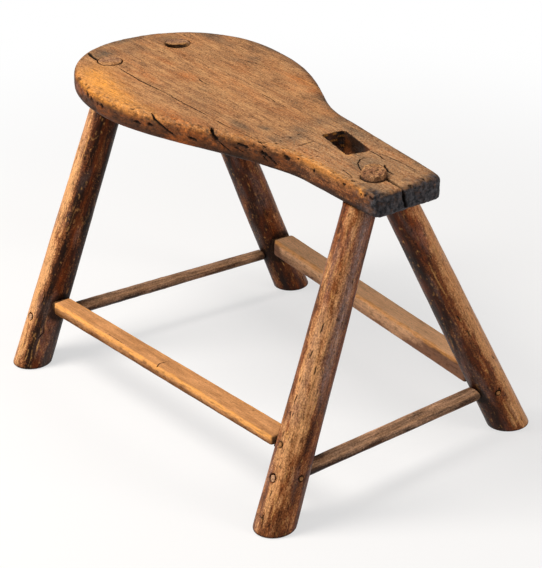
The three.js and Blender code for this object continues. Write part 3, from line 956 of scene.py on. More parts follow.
def seat_tone(points, place):
    """How light the plank is, from 0 to 1: dark low on its sides, partly old grime and partly painted
    shade, paler on the neck's, and darker inside the mortise.
    """
    y, z = points[:, 1], points[:, 2]
    wide_side = np.interp(z, (404, 416, 425, 432, 440), (-0.4, -0.36, -0.26, 0.02, 0.54))
    neck_side = np.interp(z, (404, 412, 424, 436, 440), (-0.25, -0.02, 0.14, 0.36, 0.56))
    on_side = wide_side + (neck_side - wide_side) * place["neck"]
    on_top = 0.62 + 0.14 * lumps(points, (70, 22, 22), 16) - 0.1 * place["neck"]
    on_top -= 0.2 * np.exp(-(place["inside"] / 9) ** 2)
    on_top -= 0.22 * np.exp(-(place["inside"] / 14) ** 2) * smoothstep(y, 30, 70)
    tone = on_side + (on_top - on_side) * place["top"] + 0.08 * lumps(points, (16, 8, 8), 19)
    tone -= 0.15 * place["under"]
    in_mortise = np.where(place["far_wall"] > place["rear_wall"], -0.16, -0.3)
    return tone + (in_mortise - tone) * smoothstep(place["mortise"], 0.2, 0.8)


def carve_seat(points, normals, settings):
    """The plank's wear: waves of the adze, checks, knocks, a pitted arris and a burnt end."""
    x, y, z = points.T
    place = seat_places(points, normals, settings)
    check_depth, check_dark = cut_by(jittered(points, 0.9, 7, 1), SEAT_CHECKS)
    knock_depth, knock_dark = cut_by(jittered(points, 1.6, 4, 5), SEAT_KNOCKS, sharp=False)
    pits = arris_pits(points, place)
    depth = seat_depth(points, place, pits) + check_depth + knock_depth
    splinters = place["rear_wall"] * smoothstep(lumps(points, (14, 11, 2.2), 15), 0.2, 0.32)
    # Rubbed bare wood from the patches, and a painted highlight as a band along the near arris.
    rubbed = patched(points, RUBBED_AND_HIGHLIGHT_PATCHES) * smoothstep(z, 424 + 6 * (x < -215), 436)
    painted_arris_highlight = np.exp(-((place["inside"] - 4) / 4) ** 2) * smoothstep(z, 426, 436)
    rubbed += 0.3 * painted_arris_highlight * place["near"] * (x > -240)
    outside_mortise = 1 - place["mortise"]
    battered = patched(points, BATTERED_PATCHES) * outside_mortise * smoothstep(z, 408, 424)
    waxy = np.clip(0.9 * lumps(points, (60, 14, 14), 17), 0, 0.3)
    masks = {
        "tone": seat_tone(points, place),
        "warm": outside_mortise * patched(points, WARM_PATCHES) + 0.5 * battered + waxy,
        "rubbed": np.maximum(rubbed * (1 - place["burnt"]) * outside_mortise, 0.7 * splinters),
        "battered": battered,
        "bleached": (0.25 + 0.3 * place["neck"]) * place["top"] + 0.06 * battered,
        "stain_and_sheen": patched(points, STAINED_PATCHES) * smoothstep(z, 420, 432) + 0.25 * place["under"],
        "charred": np.maximum(place["burnt"], 0.3 * place["rear_wall"]),
        "grime_and_shade": np.maximum(np.maximum(check_dark, 0.95 * knock_dark), 0.7 * pits),
        "pith": np.hypot(y + 12, z - 300),
        "end_grain": smoothstep(np.abs(normals[:, 0]), 0.75, 0.95) * smoothstep(x, 310, 325),
    }
    return points - normals * depth[:, None], masks


def build_seat(settings):
    body = combined(seat_blank(), mortise_cutter(settings), "DIFFERENCE")
    for leg in LEGS.values():
        gap = leg["hole_wear"] * settings.tenon_gap / MM
        hole = leaning_tenon(leg, gap, SEAT_UNDERSIDE - OVERRUN, leg["tenon_end"].z + OVERRUN)
        bmesh.ops.translate(hole, vec=leg["hole_shift"], verts=hole.verts)
        body = combined(body, hole, "DIFFERENCE")
    fine = fine_mesh(body, settings.mesh_step / MM)
    fine = refined(refined(fine, SEAT_CHECKS, 2), SEAT_KNOCKS, 1)
    mesh = carved("worn_seat_plank", fine, lambda points, normals: carve_seat(points, normals, settings))
    return finished("worn_seat_plank", "seat_plank", mesh, seat_wood(settings))


# The legs.

def leg_axis(leg, height):
    spot = leg["foot"].lerp(leg["head"], height / SEAT_TOP)
    return Vector((spot.x, spot.y, height))


def leg_radius(leg, height):
    foot, head = leg["radius"]
    return foot + (head - foot) * height / SEAT_TOP


def leg_round(leg, grown):
    """The leg's round surface, carried on below the floor and up through the seat."""
    low, high = -LEG_PAST_FLOOR, SEAT_TOP
    ends = [leg_axis(leg, height) for height in (low, high)]
    radii = [leg_radius(leg, height) + grown for height in (low, high)]
    return rod(*ends, *radii, LEG_SIDES)


def leaning_tenon(leg, grown, low, high):
    """A round whose every level slice is a circle, leaning from the shoulder to its end."""
    root, end = leg_axis(leg, SEAT_UNDERSIDE), leg["tenon_end"]
    root_radius, end_radius = leg["tenon_radius"]
    shares = [(height - root.z) / (end.z - root.z) for height in (low, high)]
    radii = [grown + root_radius + (end_radius - root_radius) * share for share in shares]
    bm = bmesh.new()
    bmesh.ops.create_cone(
        bm, cap_ends=True, segments=TENON_SIDES, radius1=radii[0], radius2=radii[1], depth=high - low)
    bmesh.ops.translate(bm, vec=(0, 0, (low + high) / 2 - root.z), verts=bm.verts)
    lean = (end - root) / (end.z - root.z)
    slant = Matrix(((1, 0, lean.x, root.x), (0, 1, lean.y, root.y), (0, 0, 1, root.z), (0, 0, 0, 1)))
    bmesh.ops.transform(bm, matrix=slant, verts=bm.verts)
    return bm


def proud_head(leg):
    """The rough eight-sided head of the tenon that stands out of the seat, worn round on top."""
    height = PROUD_HEAD["height"]
    bottom, top = PROUD_HEAD["radii"]
    bm = bmesh.new()
    bmesh.ops.create_cone(
        bm, cap_ends=True, segments=PROUD_HEAD["sides"], radius1=bottom, radius2=top, depth=height + OVERRUN)
    rim = [edge for edge in bm.edges if min(vert.co.z for vert in edge.verts) > 0]
    bevelled(bm, rim, PROUD_HEAD["rounding"])
    middle = leg["tenon_end"] + PROUD_HEAD["shift"].to_3d() + Vector((0, 0, (height - OVERRUN) / 2))
    turn = Matrix.Rotation(PROUD_HEAD["turn"], 4, "Z")
    longer = Matrix.Diagonal((*PROUD_HEAD["stretched"], 1, 1))
    bmesh.ops.transform(bm, matrix=Matrix.Translation(middle) @ turn @ longer, verts=bm.verts)
    return bm


def cut_level(bm, height, **side):
    """Cuts a solid off level on one side of a height, and closes it there."""
    whole = bm.verts[:] + bm.edges[:] + bm.faces[:]
    cut = bmesh.ops.bisect_plane(bm, geom=whole, plane_co=(0, 0, height), plane_no=(0, 0, 1), **side)
    rim = [part for part in cut["geom_cut"] if isinstance(part, bmesh.types.BMEdge)]
    bmesh.ops.contextual_create(bm, geom=rim)


def standing_round(leg, foot_rounding):
    """The leg from the floor to the shoulder under the seat, its foot's edge worn round."""
    bm = leg_round(leg, 0)
    cut_level(bm, 0, clear_inner=True)
    cut_level(bm, SHOULDER, clear_outer=True)
    rim = [edge for edge in bm.edges if max(abs(vert.co.z) for vert in edge.verts) < 0.01]
    bevelled(bm, rim, foot_rounding)
    bmesh.ops.recalc_face_normals(bm, faces=bm.faces)
    return bm


def peg_way(peg):
    return peg.toward.normalized()


def peg_leg(peg):
    return LEGS[STRETCHERS[peg.stretcher][peg.end].leg]


def leg_surface_on(leg, start, way):
    """Where a line from inside the leg comes out through its side."""
    axis = (leg_axis(leg, SEAT_TOP) - leg_axis(leg, 0)).normalized()
    place = start.copy()
    while (place - leg_axis(leg, 0)).cross(axis).length < leg_radius(leg, place.z):
        place += way * 0.2
    return place


def peg_hole(peg, radius):
    """The bored hole of a peg, right out through the side of the leg."""
    way = peg_way(peg)
    return rod(peg.target - way * (PEG_PAST_TARGET + 0.5), peg.target + way * PEG_BEFORE_TRIMMING,
               radius, radius, PEG_SIDES)


def joints_in(name):
    """The stretchers' ends that go into a leg."""
    return [(stretcher, index) for stretcher in STRETCHERS.values()
            for index, end in enumerate(stretcher) if end.leg == name]


def pegs_in(name):
    return [peg for peg in PEGS.values() if peg_leg(peg) is LEGS[name]]


def build_leg(name, settings, peg_radius):
    leg = LEGS[name]
    body = standing_round(leg, settings.foot_rounding / MM)
    for stretcher, index in joints_in(name):
        body = combined(body, stretcher_tenon(stretcher, index, TENON_HOLE_GAP), "DIFFERENCE")
    for peg in pegs_in(name):
        body = combined(body, peg_hole(peg, peg_radius + PEG_GAP_IN_LEG), "DIFFERENCE")
    body = joined(body, leaning_tenon(leg, 0, SEAT_UNDERSIDE - 2 * OVERRUN, leg["tenon_end"].z))
    if name == PROUD_HEAD["leg"]:
        body = joined(body, proud_head(leg))
    fine = fine_mesh(body, settings.mesh_step / MM)
    fine = refined(fine, [placed_mark(leg, mark) for mark in LEG_CHECKS[name]], 1)
    piece = "hewn_leg_" + name
    mesh = carved(piece, fine, lambda points, normals: carve_leg(name, points, normals))
    return finished(piece, "leg_" + name, mesh, leg_wood(name, settings))


def placed_mark(leg, mark):
    """A leg's mark with its angles and heights turned into points on the leg's side."""
    line = []
    for angle, height in mark.line:
        way = Vector((math.cos(math.radians(angle)), math.sin(math.radians(angle)), 0))
        line.append(tuple(leg_surface_on(leg, leg_axis(leg, height), way)))
    return Mark(tuple(line), mark.width, mark.depth)


def by_angle(angles, stops):
    """Values given at some angles, blended round the leg."""
    return np.interp(angles, [stop[0] for stop in stops], [stop[1] for stop in stops])


def tenon_end_height(name, points):
    """The height that a tenon's end wears down to. Two slope from one edge to the other."""
    x, y = points[:, 0], points[:, 1]
    end = LEGS[name]["tenon_end"]
    toward_near = 0.8 * (x - end.x) - 0.6 * (y - end.y)
    if name == "rear_left":
        return end.z - 0.15 - 0.105 * (LEGS[name]["tenon_radius"][1] - toward_near)
    if name == PROUD_HEAD["leg"]:
        away = np.hypot(x - end.x, y - end.y)
        pitted = 0.9 * smoothstep(lumps(points, (4, 4, 4), 38), 0.15, 0.5)
        slope = 0.09 * (PROUD_HEAD["far_edge"] + toward_near)
        return end.z + PROUD_HEAD["height"] - 0.2 - slope - 0.004 * away ** 1.7 - pitted
    return np.full(len(points), end.z - 0.3)


def tenon_end_masks(name, points, normals):
    """Tone, dirt and wear of a tenon's end, which is as brown as the seat round it. The proud head's
    foot also gets a dark ring of painted shadow where it meets the seat.
    """
    x, y, z = points.T
    end = LEGS[name]["tenon_end"]
    up = smoothstep(normals[:, 2], 0.3, 0.8)
    from_middle = np.hypot(x - end.x, y - end.y)
    radius = LEGS[name]["tenon_radius"][1]
    rim = smoothstep(from_middle, radius - 3, radius - 0.5)
    toward_near = smoothstep(0.8 * (x - end.x) - 0.6 * (y - end.y), 2, 8)
    tone = 0.74 + 0.16 * lumps(points, (6, 6, 6), 37)
    if name == PROUD_HEAD["leg"]:
        pits = smoothstep(lumps(points, (4, 4, 4), 38), 0.15, 0.5)
        # A dark ring painted at the head's foot, as shadow where it meets the seat.
        at_foot = 1 - smoothstep(z, SEAT_TOP + 0.5, SEAT_TOP + 3)
        side_dirt = (1 - up) * (0.35 + 0.3 * lumps(points, (5, 5, 3), 39))
        worn = 0.35 * rim * up
        return tone - 0.04, np.maximum(np.maximum(0.8 * pits * up, side_dirt), 0.9 * at_foot), worn, 0.25
    chipped = toward_near * rim * up if name == "rear_left" else 0.2 * rim * up
    grey = 0.4 * (1 - toward_near)
    return tone, 0.9 * (1 - up), chipped, grey


def leg_places(name, points):
    """Each point's place from its leg's axis, its angle round it, and how far it is on the skin and
    on the tenon's end."""
    foot, head = np.array(LEGS[name]["foot"]), np.array(LEGS[name]["head"])
    z = points[:, 2]
    off = points[:, :2] - foot - (head - foot) * (z / SEAT_TOP)[:, None]
    angles = np.degrees(np.arctan2(off[:, 1], off[:, 0]))
    skin = (1 - smoothstep(z, SHOULDER - 6, SHOULDER - 2)) * smoothstep(z, 0.5, 3)
    return np.column_stack([off, z]), angles, skin, (z > SEAT_UNDERSIDE + 2).astype(float)


def leg_moved(name, seed, points, normals, depth):
    """The points taken in by the wear, with the tenon's end worn down and the sole kept flat."""
    z = points[:, 2]
    head_side = (z > SEAT_TOP + 1) * (1 - smoothstep(normals[:, 2], 0.3, 0.8))
    depth = depth + head_side * np.clip(0.5 + 2 * lumps(points, (7, 7, 9), seed + 8), 0, 2.2)
    moved = points - normals * depth[:, None]
    worn_end = tenon_end_height(name, moved) + 0.25 * lumps(points, (5, 5, 5), seed + 8)
    is_high = z > LEGS[name]["tenon_end"].z - 5
    capped = np.where(is_high, np.minimum(moved[:, 2], worn_end), moved[:, 2])
    moved[:, 2] = np.maximum(capped, 0)
    return moved


def leg_tone(name, seed, local, angles):
    """How light the skin is: pale where it faces out and dark where it faces in, partly wear and
    partly painted light and shade, and darker at the shoulder and the foot.
    """
    z = local[:, 2]
    tone = by_angle(angles, LEG_TONES[name]) + 0.38 * lumps(local, (14, 14, 60), seed + 9)
    tone += 0.36 * lumps(local, (5, 5, 18), seed + 10) - 0.12 * smoothstep(z, SHOULDER - 120, SHOULDER)
    tone -= 0.2 * smoothstep(-z, -12, -2)
    if name == "front_right":
        tone -= 0.22 * smoothstep(-z, -150, -60) * smoothstep(angles, -70, -30)
    return tone


def leg_flecks(seed, local):
    """Small pale nicks in the skin, and fine scratches that wind over parts of it."""
    flecks = smoothstep(lumps(local, (2.6, 2.6, 6), seed + 12), 0.42, 0.6)
    winding = 1 - smoothstep(np.abs(lumps(local, (10, 10, 34), seed + 15)), 0.015, 0.06)
    return np.maximum(flecks, 0.7 * winding * smoothstep(lumps(local, (16, 16, 40), seed + 16), 0.15, 0.4))


def leg_grey_and_sheen(name, seed, local, angles):
    """Grey bloom in the skin, and on the front right leg a pale grey sheen painted down one side as a
    highlight.
    """
    grey = 0.3 * smoothstep(lumps(local, (16, 16, 60), seed + 14), 0.05, 0.45)
    if name == "front_right":
        grey = np.maximum(grey, np.exp(-((angles + 11) / 20) ** 2) * smoothstep(local[:, 2], 130, 220))
    return grey


def carve_leg(name, points, normals):
    """A branch's own waves and facets, knocks, checks and scratches, and its worn tenon end."""
    leg = LEGS[name]
    seed = 40 + 10 * list(LEGS).index(name)
    x, y, z = points.T
    local, angles, skin, is_end = leg_places(name, points)
    checks = [placed_mark(leg, mark) for mark in LEG_CHECKS[name]]
    scratches = [placed_mark(leg, mark) for mark in LEG_SCRATCHES[name]]
    check_depth, check_dark = cut_by(jittered(points, 0.8, 6, seed), checks)
    scratch_depth, scratched = cut_by(jittered(points, 1.1, 8, seed + 3), scratches, sharp=False)
    waves = 0.5 * lumps(local, (22, 22, 75), seed + 4) + 0.22 * lumps(local, (9, 9, 34), seed + 5)
    ripples = 0.12 * lumps(local, (3, 3, 16), seed + 6)
    nicks = smoothstep(lumps(local, (2.8, 2.8, 7), seed + 7), 0.46, 0.66)
    depth = skin * (0.5 + waves + ripples + 0.3 * nicks + check_depth + scratch_depth)

    end_tone, end_dirt_and_shadow, end_rubbed, end_grey = tenon_end_masks(name, points, normals)
    reddish = by_angle(angles, LEG_REDNESS[name]) + 0.5 * lumps(local, (9, 9, 46), seed + 13)
    reddish += 0.25 * smoothstep(z, 280, 380)
    # A dark line painted round the foot's lowest edge as contact shadow.
    painted_contact_shadow = 0.85 * (1 - smoothstep(z, 1, 4.5))
    leg_dirt_and_shadow = np.max([0.8 * check_dark, 0.6 * nicks, grime_and_shadow_round_joints(name, points), painted_contact_shadow], axis=0)
    end = leg["tenon_end"]
    from_end_heart = np.hypot(x - end.x - 2, y - end.y + 1.5)
    rings = np.where(is_end > 0.5, from_end_heart, np.hypot(local[:, 0], local[:, 1]))
    ring_share = 0.4 if name == PROUD_HEAD["leg"] else 1
    masks = {
        "tone": leg_tone(name, seed, local, angles) * (1 - is_end) + end_tone * is_end,
        "warm": np.clip(reddish, 0, 1) * (1 - is_end),
        "rubbed": np.maximum(0.9 * scratched, 0.5 * leg_flecks(seed, local)) * skin + end_rubbed * is_end,
        "stain_and_sheen": leg_grey_and_sheen(name, seed, local, angles) * (1 - is_end) + end_grey * is_end,
        "grime_and_shade": leg_dirt_and_shadow * (1 - is_end) + end_dirt_and_shadow * is_end,
        "pith": rings,
        "end_grain": np.maximum(is_end * smoothstep(normals[:, 2], 0.5, 0.9) * ring_share,
                                smoothstep(-normals[:, 2], 0.8, 0.98) * (z < 4)),
    }
    return leg_moved(name, seed, points, normals, depth), masks


def grime_and_shadow_round_joints(name, points):
    """Dark grime where stretchers and pegs enter a leg, reaching further down below each stretcher
    as a painted shadow.
    """
    grime = np.zeros(len(points))
    for stretcher, index in joints_in(name):
        _, outward, root = tenon_run(stretcher, index)
        mouth = root + outward * TENON_OVERLAP
        distance = np.linalg.norm(points - np.array(mouth), axis=1)
        # Below the stretcher the dark reaches further, as painted shadow.
        reach = max(stretcher[index].size) * (0.7 + 0.3 * smoothstep(mouth.z - points[:, 2], 4, 12))
        grime = np.maximum(grime, 0.8 * (1 - smoothstep(distance, reach - 6, reach)))
    for peg in pegs_in(name):
        mouth = leg_surface_on(peg_leg(peg), peg.target, peg_way(peg))
        distance = np.linalg.norm(points - np.array(mouth), axis=1)
        grime = np.maximum(grime, peg.grime * (1 - smoothstep(distance, 3.9, 4.4 + 2 * peg.grime)))
    return grime


# The stretchers.

def stretcher_line(stretcher):
    return [leg_axis(LEGS[end.leg], end.height) for end in stretcher]


def stretcher_axes(stretcher):
    """The bar's start, its run to the other end, and the ways across and up it."""
    start, finish = stretcher_line(stretcher)
    run = finish - start
    across = Vector((0, 0, 1)).cross(run).normalized()
    return start, run, across, run.cross(across).normalized()


def stretcher_bar(stretcher, corner, segments):
    """A bar with worn or hewn corners, carried along the line between the two legs' axes."""
    start, run, across, upward = stretcher_axes(stretcher)
    bm = bmesh.new()
    bmesh.ops.create_cube(bm, size=1)
    long_edges = [edge for edge in bm.edges if abs(edge.verts[0].co.z - edge.verts[1].co.z) > 0.5]
    bevelled(bm, long_edges, corner, segments)
    for vert in bm.verts:
        share = vert.co.z + 0.5
        width, thickness = Vector(stretcher[0].size).lerp(Vector(stretcher[1].size), share)
        vert.co = start + run * share + across * vert.co.x * width + upward * vert.co.y * thickness
    return bm


def tenon_run(stretcher, index):
    """A joint's place on its leg's axis, the way out along the bar, and where its tenon starts."""
    line = stretcher_line(stretcher)
    end = stretcher[index]
    outward = (line[index] - line[1 - index]).normalized()
    root = line[index] - outward * (leg_radius(LEGS[end.leg], end.height) + TENON_OVERLAP)
    return line[index], outward, root


def stretcher_tenon(stretcher, index, grown):
    """The round tenon at one end, from inside the bar to its end in the leg or past it."""
    end = stretcher[index]
    spot, outward, root = tenon_run(stretcher, index)
    tip = spot + outward * (end.reach + grown) + Vector((0, 0, end.rise))
    return rod(root, tip, end.radius + grown, end.radius + grown, JOINT_SIDES)


def stretcher_joint(stretcher, index, peg_radius):
    """A tenon cut flush with its leg's far side, and its neck in the gap before the leg."""
    end = stretcher[index]
    spot, outward, root = tenon_run(stretcher, index)
    neck = rod(root, spot - outward * NECK_END, end.radius, end.radius, JOINT_SIDES)
    inside_leg = leg_round(LEGS[end.leg], -THROUGH_END_DEPTH)
    tenon = combined(stretcher_tenon(stretcher, index, 0), inside_leg, "INTERSECT")
    for peg in PEGS.values():
        if STRETCHERS[peg.stretcher] is stretcher and peg.end == index:
            tenon = combined(tenon, peg_hole(peg, peg_radius + PEG_GAP_IN_TENON), "DIFFERENCE")
    return joined(neck, tenon)


def build_stretcher(name, settings, peg_radius):
    stretcher = STRETCHERS[name]
    is_rod = name.startswith("cross")
    corner = settings.rod_rounding if is_rod else settings.board_rounding
    body = stretcher_bar(stretcher, corner, 1 if is_rod else 3)
    for end in stretcher:
        body = combined(body, leg_round(LEGS[end.leg], settings.cope_gap / MM), "DIFFERENCE")
    for index in range(len(stretcher)):
        body = joined(body, stretcher_joint(stretcher, index, peg_radius))
    fine = fine_mesh(body, settings.mesh_step / MM)
    fine = refined(fine, STRETCHER_CHECKS.get(name, ()), 2)
    piece = ("hewn_" if is_rod else "sawn_") + name
    mesh = carved(piece, fine, lambda points, normals: carve_stretcher(name, points, normals))
    return finished(piece, name, mesh, stretcher_wood(name, settings))


def build_stretchers(scene, *names):
    for name in names:
        build_stretcher(name, scene.stool_stretchers, scene.stool_pegs.radius / MM)


def bar_places(stretcher, points):
    """Each point's place along, across and up a stretcher, its depth under the bar's sides and
    top, and how far it is from the nearer leg."""
    start, run, across, upward = (np.array(way) for way in stretcher_axes(stretcher))
    length_mm = np.linalg.norm(run)
    away = points - start
    along = away @ run / length_mm
    share = np.clip(along / length_mm, 0, 1)[:, None]
    half = (np.array(stretcher[0].size) * (1 - share) + np.array(stretcher[1].size) * share) / 2
    to_leg = [leg_radius(LEGS[end.leg], end.height) for end in stretcher]
    return {
        "length": length_mm,
        "local": np.column_stack([along, away @ across, away @ upward]),
        "half": half,
        "from_side": half[:, 0] - np.abs(away @ across),
        "from_top": half[:, 1] - away @ upward,
        "after_start": along - to_leg[0],
        "near_ends": np.minimum(along - to_leg[0], length_mm - along - to_leg[1]),
    }


def end_rounding(is_rod, place, along_run):
    """How far a bar's end draws in where it meets a leg, along its sides but not over its end."""
    half, near_ends = place["half"], place["near_ends"]
    radius = min(half.min(), 3 if is_rod else 7)
    into_end = np.clip(radius - near_ends, 0, radius)
    from_face = half[:, 1] - np.abs(place["local"][:, 2])
    on_bar = (place["from_side"] < 3) | (from_face < 3)
    return (radius - np.sqrt(radius ** 2 - into_end ** 2)) * on_bar * (1 - smoothstep(along_run, 0.3, 0.6))


def stretcher_tone(name, seed, place, upper, lower, beside):
    """How light a stretcher is, with light and shade painted in: palest on top, and darker down its
    sides and underneath, where its own light is poor. The rods are darker near their first leg, and
    the left rail near its rear leg and down its side toward its front leg.
    """
    local, half, from_start = place["local"], place["half"], place["after_start"]
    on_side = np.interp(local[:, 2] / half[:, 1], (-1, -0.3, 0.4, 1), (-0.2, 0.2, 0.5, 0.8))
    tone = 0.72 * upper + on_side * beside + 0.1 * lower + 0.18 * lumps(local, (60, 9, 9), seed + 4)
    if name.startswith("cross"):
        tone -= 0.5 * (1 - smoothstep(from_start, 4, 70))
    if name == "side_stretcher_left":
        before_end = place["length"] - local[:, 0]
        tone += 0.45 * upper + beside * (0.2 - 1.3 * smoothstep(-before_end, -185, -70))
        tone -= 0.8 * beside * (1 - smoothstep(from_start, 12, 26))
    return tone


def carve_stretcher(name, points, normals):
    """Saw and drawknife waves, worn arrises, and ends that are rounded where they meet a leg."""
    seed = 90 + 10 * list(STRETCHERS).index(name)
    stretcher = STRETCHERS[name]
    is_rod = name.startswith("cross")
    place = bar_places(stretcher, points)
    local, near_ends = place["local"], place["near_ends"]
    _, run, _, upward = (np.array(way) for way in stretcher_axes(stretcher))
    upper = smoothstep(normals @ upward, 0.3, 0.8)
    lower = smoothstep(-(normals @ upward), 0.3, 0.8)
    beside = 1 - np.maximum(upper, lower)

    scallops = 2.2 * lumps(local, (16, 7, 7), seed + 6)
    worn_top = 1 - smoothstep(np.maximum(place["from_side"], 0) + scallops, 2.5, 4.5)
    worn_side = 1 - smoothstep(np.maximum(place["from_top"], 0) + scallops, 4.5, 7)
    worn = np.clip(worn_top * upper + worn_side * beside, 0, 1)
    chips = smoothstep(lumps(local, (10, 4, 3.5), seed + 2), 0.2, 0.42) * beside * (1 - lower)
    waves = (0.35 if is_rod else 0.2) * lumps(local, (46, 12, 12), seed)
    fibres = 0.08 * lumps(local, (22, 2.4, 2.4), seed + 1)
    check_depth, check_dark = cut_by(jittered(points, 0.6, 5, seed + 3), STRETCHER_CHECKS.get(name, ()))
    rounding = end_rounding(is_rod, place, np.abs(normals @ run) / place["length"])
    depth = 0.35 + waves + fibres + 0.5 * worn * beside + 0.6 * chips + check_depth + 0.8 * rounding

    tone = stretcher_tone(name, seed, place, upper, lower, beside)
    grime = (1 - smoothstep(near_ends, 1.5, 5)) * smoothstep(near_ends, -14, -6)
    through = smoothstep(-near_ends, 8, 16)
    masks = {
        "tone": tone + (0.9 - tone) * through,
        "warm": np.clip(0.3 + 0.7 * lumps(local, (40, 10, 10), seed + 5), 0, 1) * (1 - through),
        # The arrises are rubbed bare, and lightened further as a painted highlight.
        "rubbed": worn * (0.45 if is_rod else 0.85) * (1 - grime),
        "stain_and_sheen": 0.6 * smoothstep(lumps(local, (50, 10, 10), seed + 7), 0.1, 0.5) * (1 - worn),
        "grime_and_shade": np.max([check_dark, 0.3 * chips, 0.85 * grime], axis=0),
        "pith": np.hypot(local[:, 1] + 4, local[:, 2] + 9),
    }
    return points - normals * depth[:, None], masks


# The pegs.

def carve_peg(name, radius, points, normals):
    """A peg's whittled end: domed, with pale end grain and grime round its rim."""
    peg = PEGS[name]
    way = np.array(peg_way(peg))
    seed = 140 + 5 * list(PEGS).index(name)
    away = points - np.array(leg_surface_on(peg_leg(peg), peg.target, peg_way(peg)))
    radial = np.linalg.norm(away - (away @ way)[:, None] * way, axis=1)
    depth = 0.12 + 0.12 * lumps(points, (2, 2, 2), seed) + 0.3 * smoothstep(radial, radius - 1, radius)
    masks = {
        "tone": 0.55 + 0.3 * lumps(points, (2.4, 2.4, 2.4), seed + 1),
        "rubbed": np.clip(0.5 - 0.4 * radial / radius, 0, 1),
        "grime_and_shade": smoothstep(radial, radius - 0.7, radius) * peg.grime,
        "pith": radial,
        "end_grain": smoothstep(normals @ way, 0.5, 0.9),
    }
    return points - normals * depth[:, None], masks


def build_peg(name, settings, material):
    peg = PEGS[name]
    way = peg_way(peg)
    radius = settings.radius / MM
    body = rod(peg.target - way * PEG_PAST_TARGET, peg.target + way * PEG_BEFORE_TRIMMING,
               radius, radius, PEG_SIDES)
    body = combined(body, leg_round(peg_leg(peg), settings.proud / MM), "INTERSECT")
    piece = "whittled_" + name
    fine = fine_mesh(body, PEG_MESH_STEP)
    mesh = carved(piece, fine, lambda points, normals: carve_peg(name, radius, points, normals))
    return finished(piece, name, mesh, material)


# Finishes.

def add_node(tree, kind, inputs=None, out=None, **settings):
    """Adds a node with its settings, fills its inputs with values or links, and returns the output
    that is asked for, or its first one in use."""
    node = tree.nodes.new("ShaderNode" + kind)
    for name, value in settings.items():
        setattr(node, name, value)
    for name, value in (inputs or {}).items():
        if isinstance(name, int):
            socket = node.inputs[name]
        else:
            socket = next(found for found in node.inputs if found.name == name and found.enabled)
        if isinstance(value, bpy.types.NodeSocket):
            tree.links.new(value, socket)
        else:
            socket.default_value = value
    if out:
        return next(found for found in node.outputs if found.name == out)
    return next((found for found in node.outputs if found.enabled), None)


def opaque(colour_value):
    return (*colour_value, 1)


def halfway(one, other):
    return [(a + b) / 2 for a, b in zip(one, other)]


def grains_along(tree, place, turn):
    """The noises of the grain, their long way laid along the piece."""
    here = add_node(tree, "TexCoord", out="Object")
    grain = {}
    for label, (along, across, detail, rough) in GRAINS.items():
        space = add_node(tree, "Mapping", {
            "Vector": here, "Location": place, "Rotation": turn,
            "Scale": (along * MM, across * MM, across * MM)}, vector_type="TEXTURE")
        grain[label] = add_node(tree, "TexNoise", {
            "Vector": space, "Scale": 1.0, "Detail": detail, "Roughness": rough})
    return grain


def grain_ranges(tree, grain, look):
    """The noises brought to the range that each of their uses needs."""
    spans = {
        "tone_mottle": (grain["mottle"], 0.3, 0.7, -look.mottle, look.mottle),
        "tone_bands": (grain["bands"], 0.3, 0.7, -0.12, 0.12),
        "tone_speckle": (grain["speckle"], 0.3, 0.7, -look.speckle, look.speckle),
        "line_shade": (grain["streaks"], 0.36, 0.62, 1 - look.streak, 1 + 0.35 * look.streak),
        "fibre_shade": (grain["fibres"], 0.36, 0.6, 1 - 0.6 * look.streak, 1 + 0.35 * look.streak),
        "dirt_shade": (grain["speckle"], 0.35, 0.65, 1 - look.speckle, 1 + look.speckle),
        "pore_shade": (grain["pores"], 0.32, 0.4, 1 - look.dashes, 1.0),
        "dash_shade": (grain["dashes"], 0.29, 0.37, 1 - look.dashes, 1.0),
        "fleck_shade": (grain["flecks"], 0.68, 0.76, 1.0, 1.3),
        "soot": (grain["crust"], 0.4, 0.66, 0.0, 1.0),
        "soot_edge": (grain["speckle"], 0.3, 0.6, 0.65, 1.15),
        "polish": (grain["mottle"], 0.3, 0.7, look.polished, look.dull),
        "wander": (grain["mottle"], 0.0, 1.0, 0.0, 3.0),
        "line_height": (grain["streaks"], 0.3, 0.7, 0.0, 1.0),
        "speckle_height": (grain["speckle"], 0.3, 0.7, 0.0, 0.7),
        "pore_height": (grain["pores"], 0.33, 0.42, -0.9, 0.0),
    }
    ranged = {}
    for label, (value, low, high, to_low, to_high) in spans.items():
        ranged[label] = add_node(tree, "MapRange", {
            "Value": value, "From Min": low, "From Max": high, "To Min": to_low, "To Max": to_high})
    return ranged


def three_browns(tree, tone, browns, ranged):
    """Which of the three browns shows: the carved tone, broken up by the grain."""
    for label in ("tone_mottle", "tone_bands", "tone_speckle"):
        tone = add_node(tree, "Math", {0: tone, 1: ranged[label]})
    surface = opaque(browns[0])
    for low, colour_value in ((0.0, browns[1]), (0.5, browns[2])):
        share = add_node(tree, "MapRange", {"Value": tone, "From Min": low, "From Max": low + 0.5})
        surface = add_node(tree, "Mix", {
            "Factor": share, "A": surface, "B": opaque(colour_value)}, data_type="RGBA")
    return surface


def layered(tree, surface, layers, grain):
    """The layers of the finish, laid over one another where their masks say."""
    for layer in layers:
        lies = add_node(tree, "Attribute", out="Fac", attribute_name=layer.mask)
        broken = add_node(tree, "MapRange", {
            "Value": grain[layer.grain], "From Min": 0.5 - 0.18 * layer.patchiness,
            "From Max": 0.51 + 0.3 * layer.patchiness, "To Min": 1 - layer.patchiness,
            "To Max": 1 + 0.2 * layer.patchiness})
        share = add_node(tree, "Math", {0: lies, 1: broken}, operation="MULTIPLY")
        share = add_node(tree, "Math", {0: share, 1: layer.strength}, operation="MULTIPLY", use_clamp=True)
        surface = add_node(tree, "Mix", {
            "Factor": share, "A": surface, "B": opaque(layer.colour)}, data_type="RGBA")
    return surface


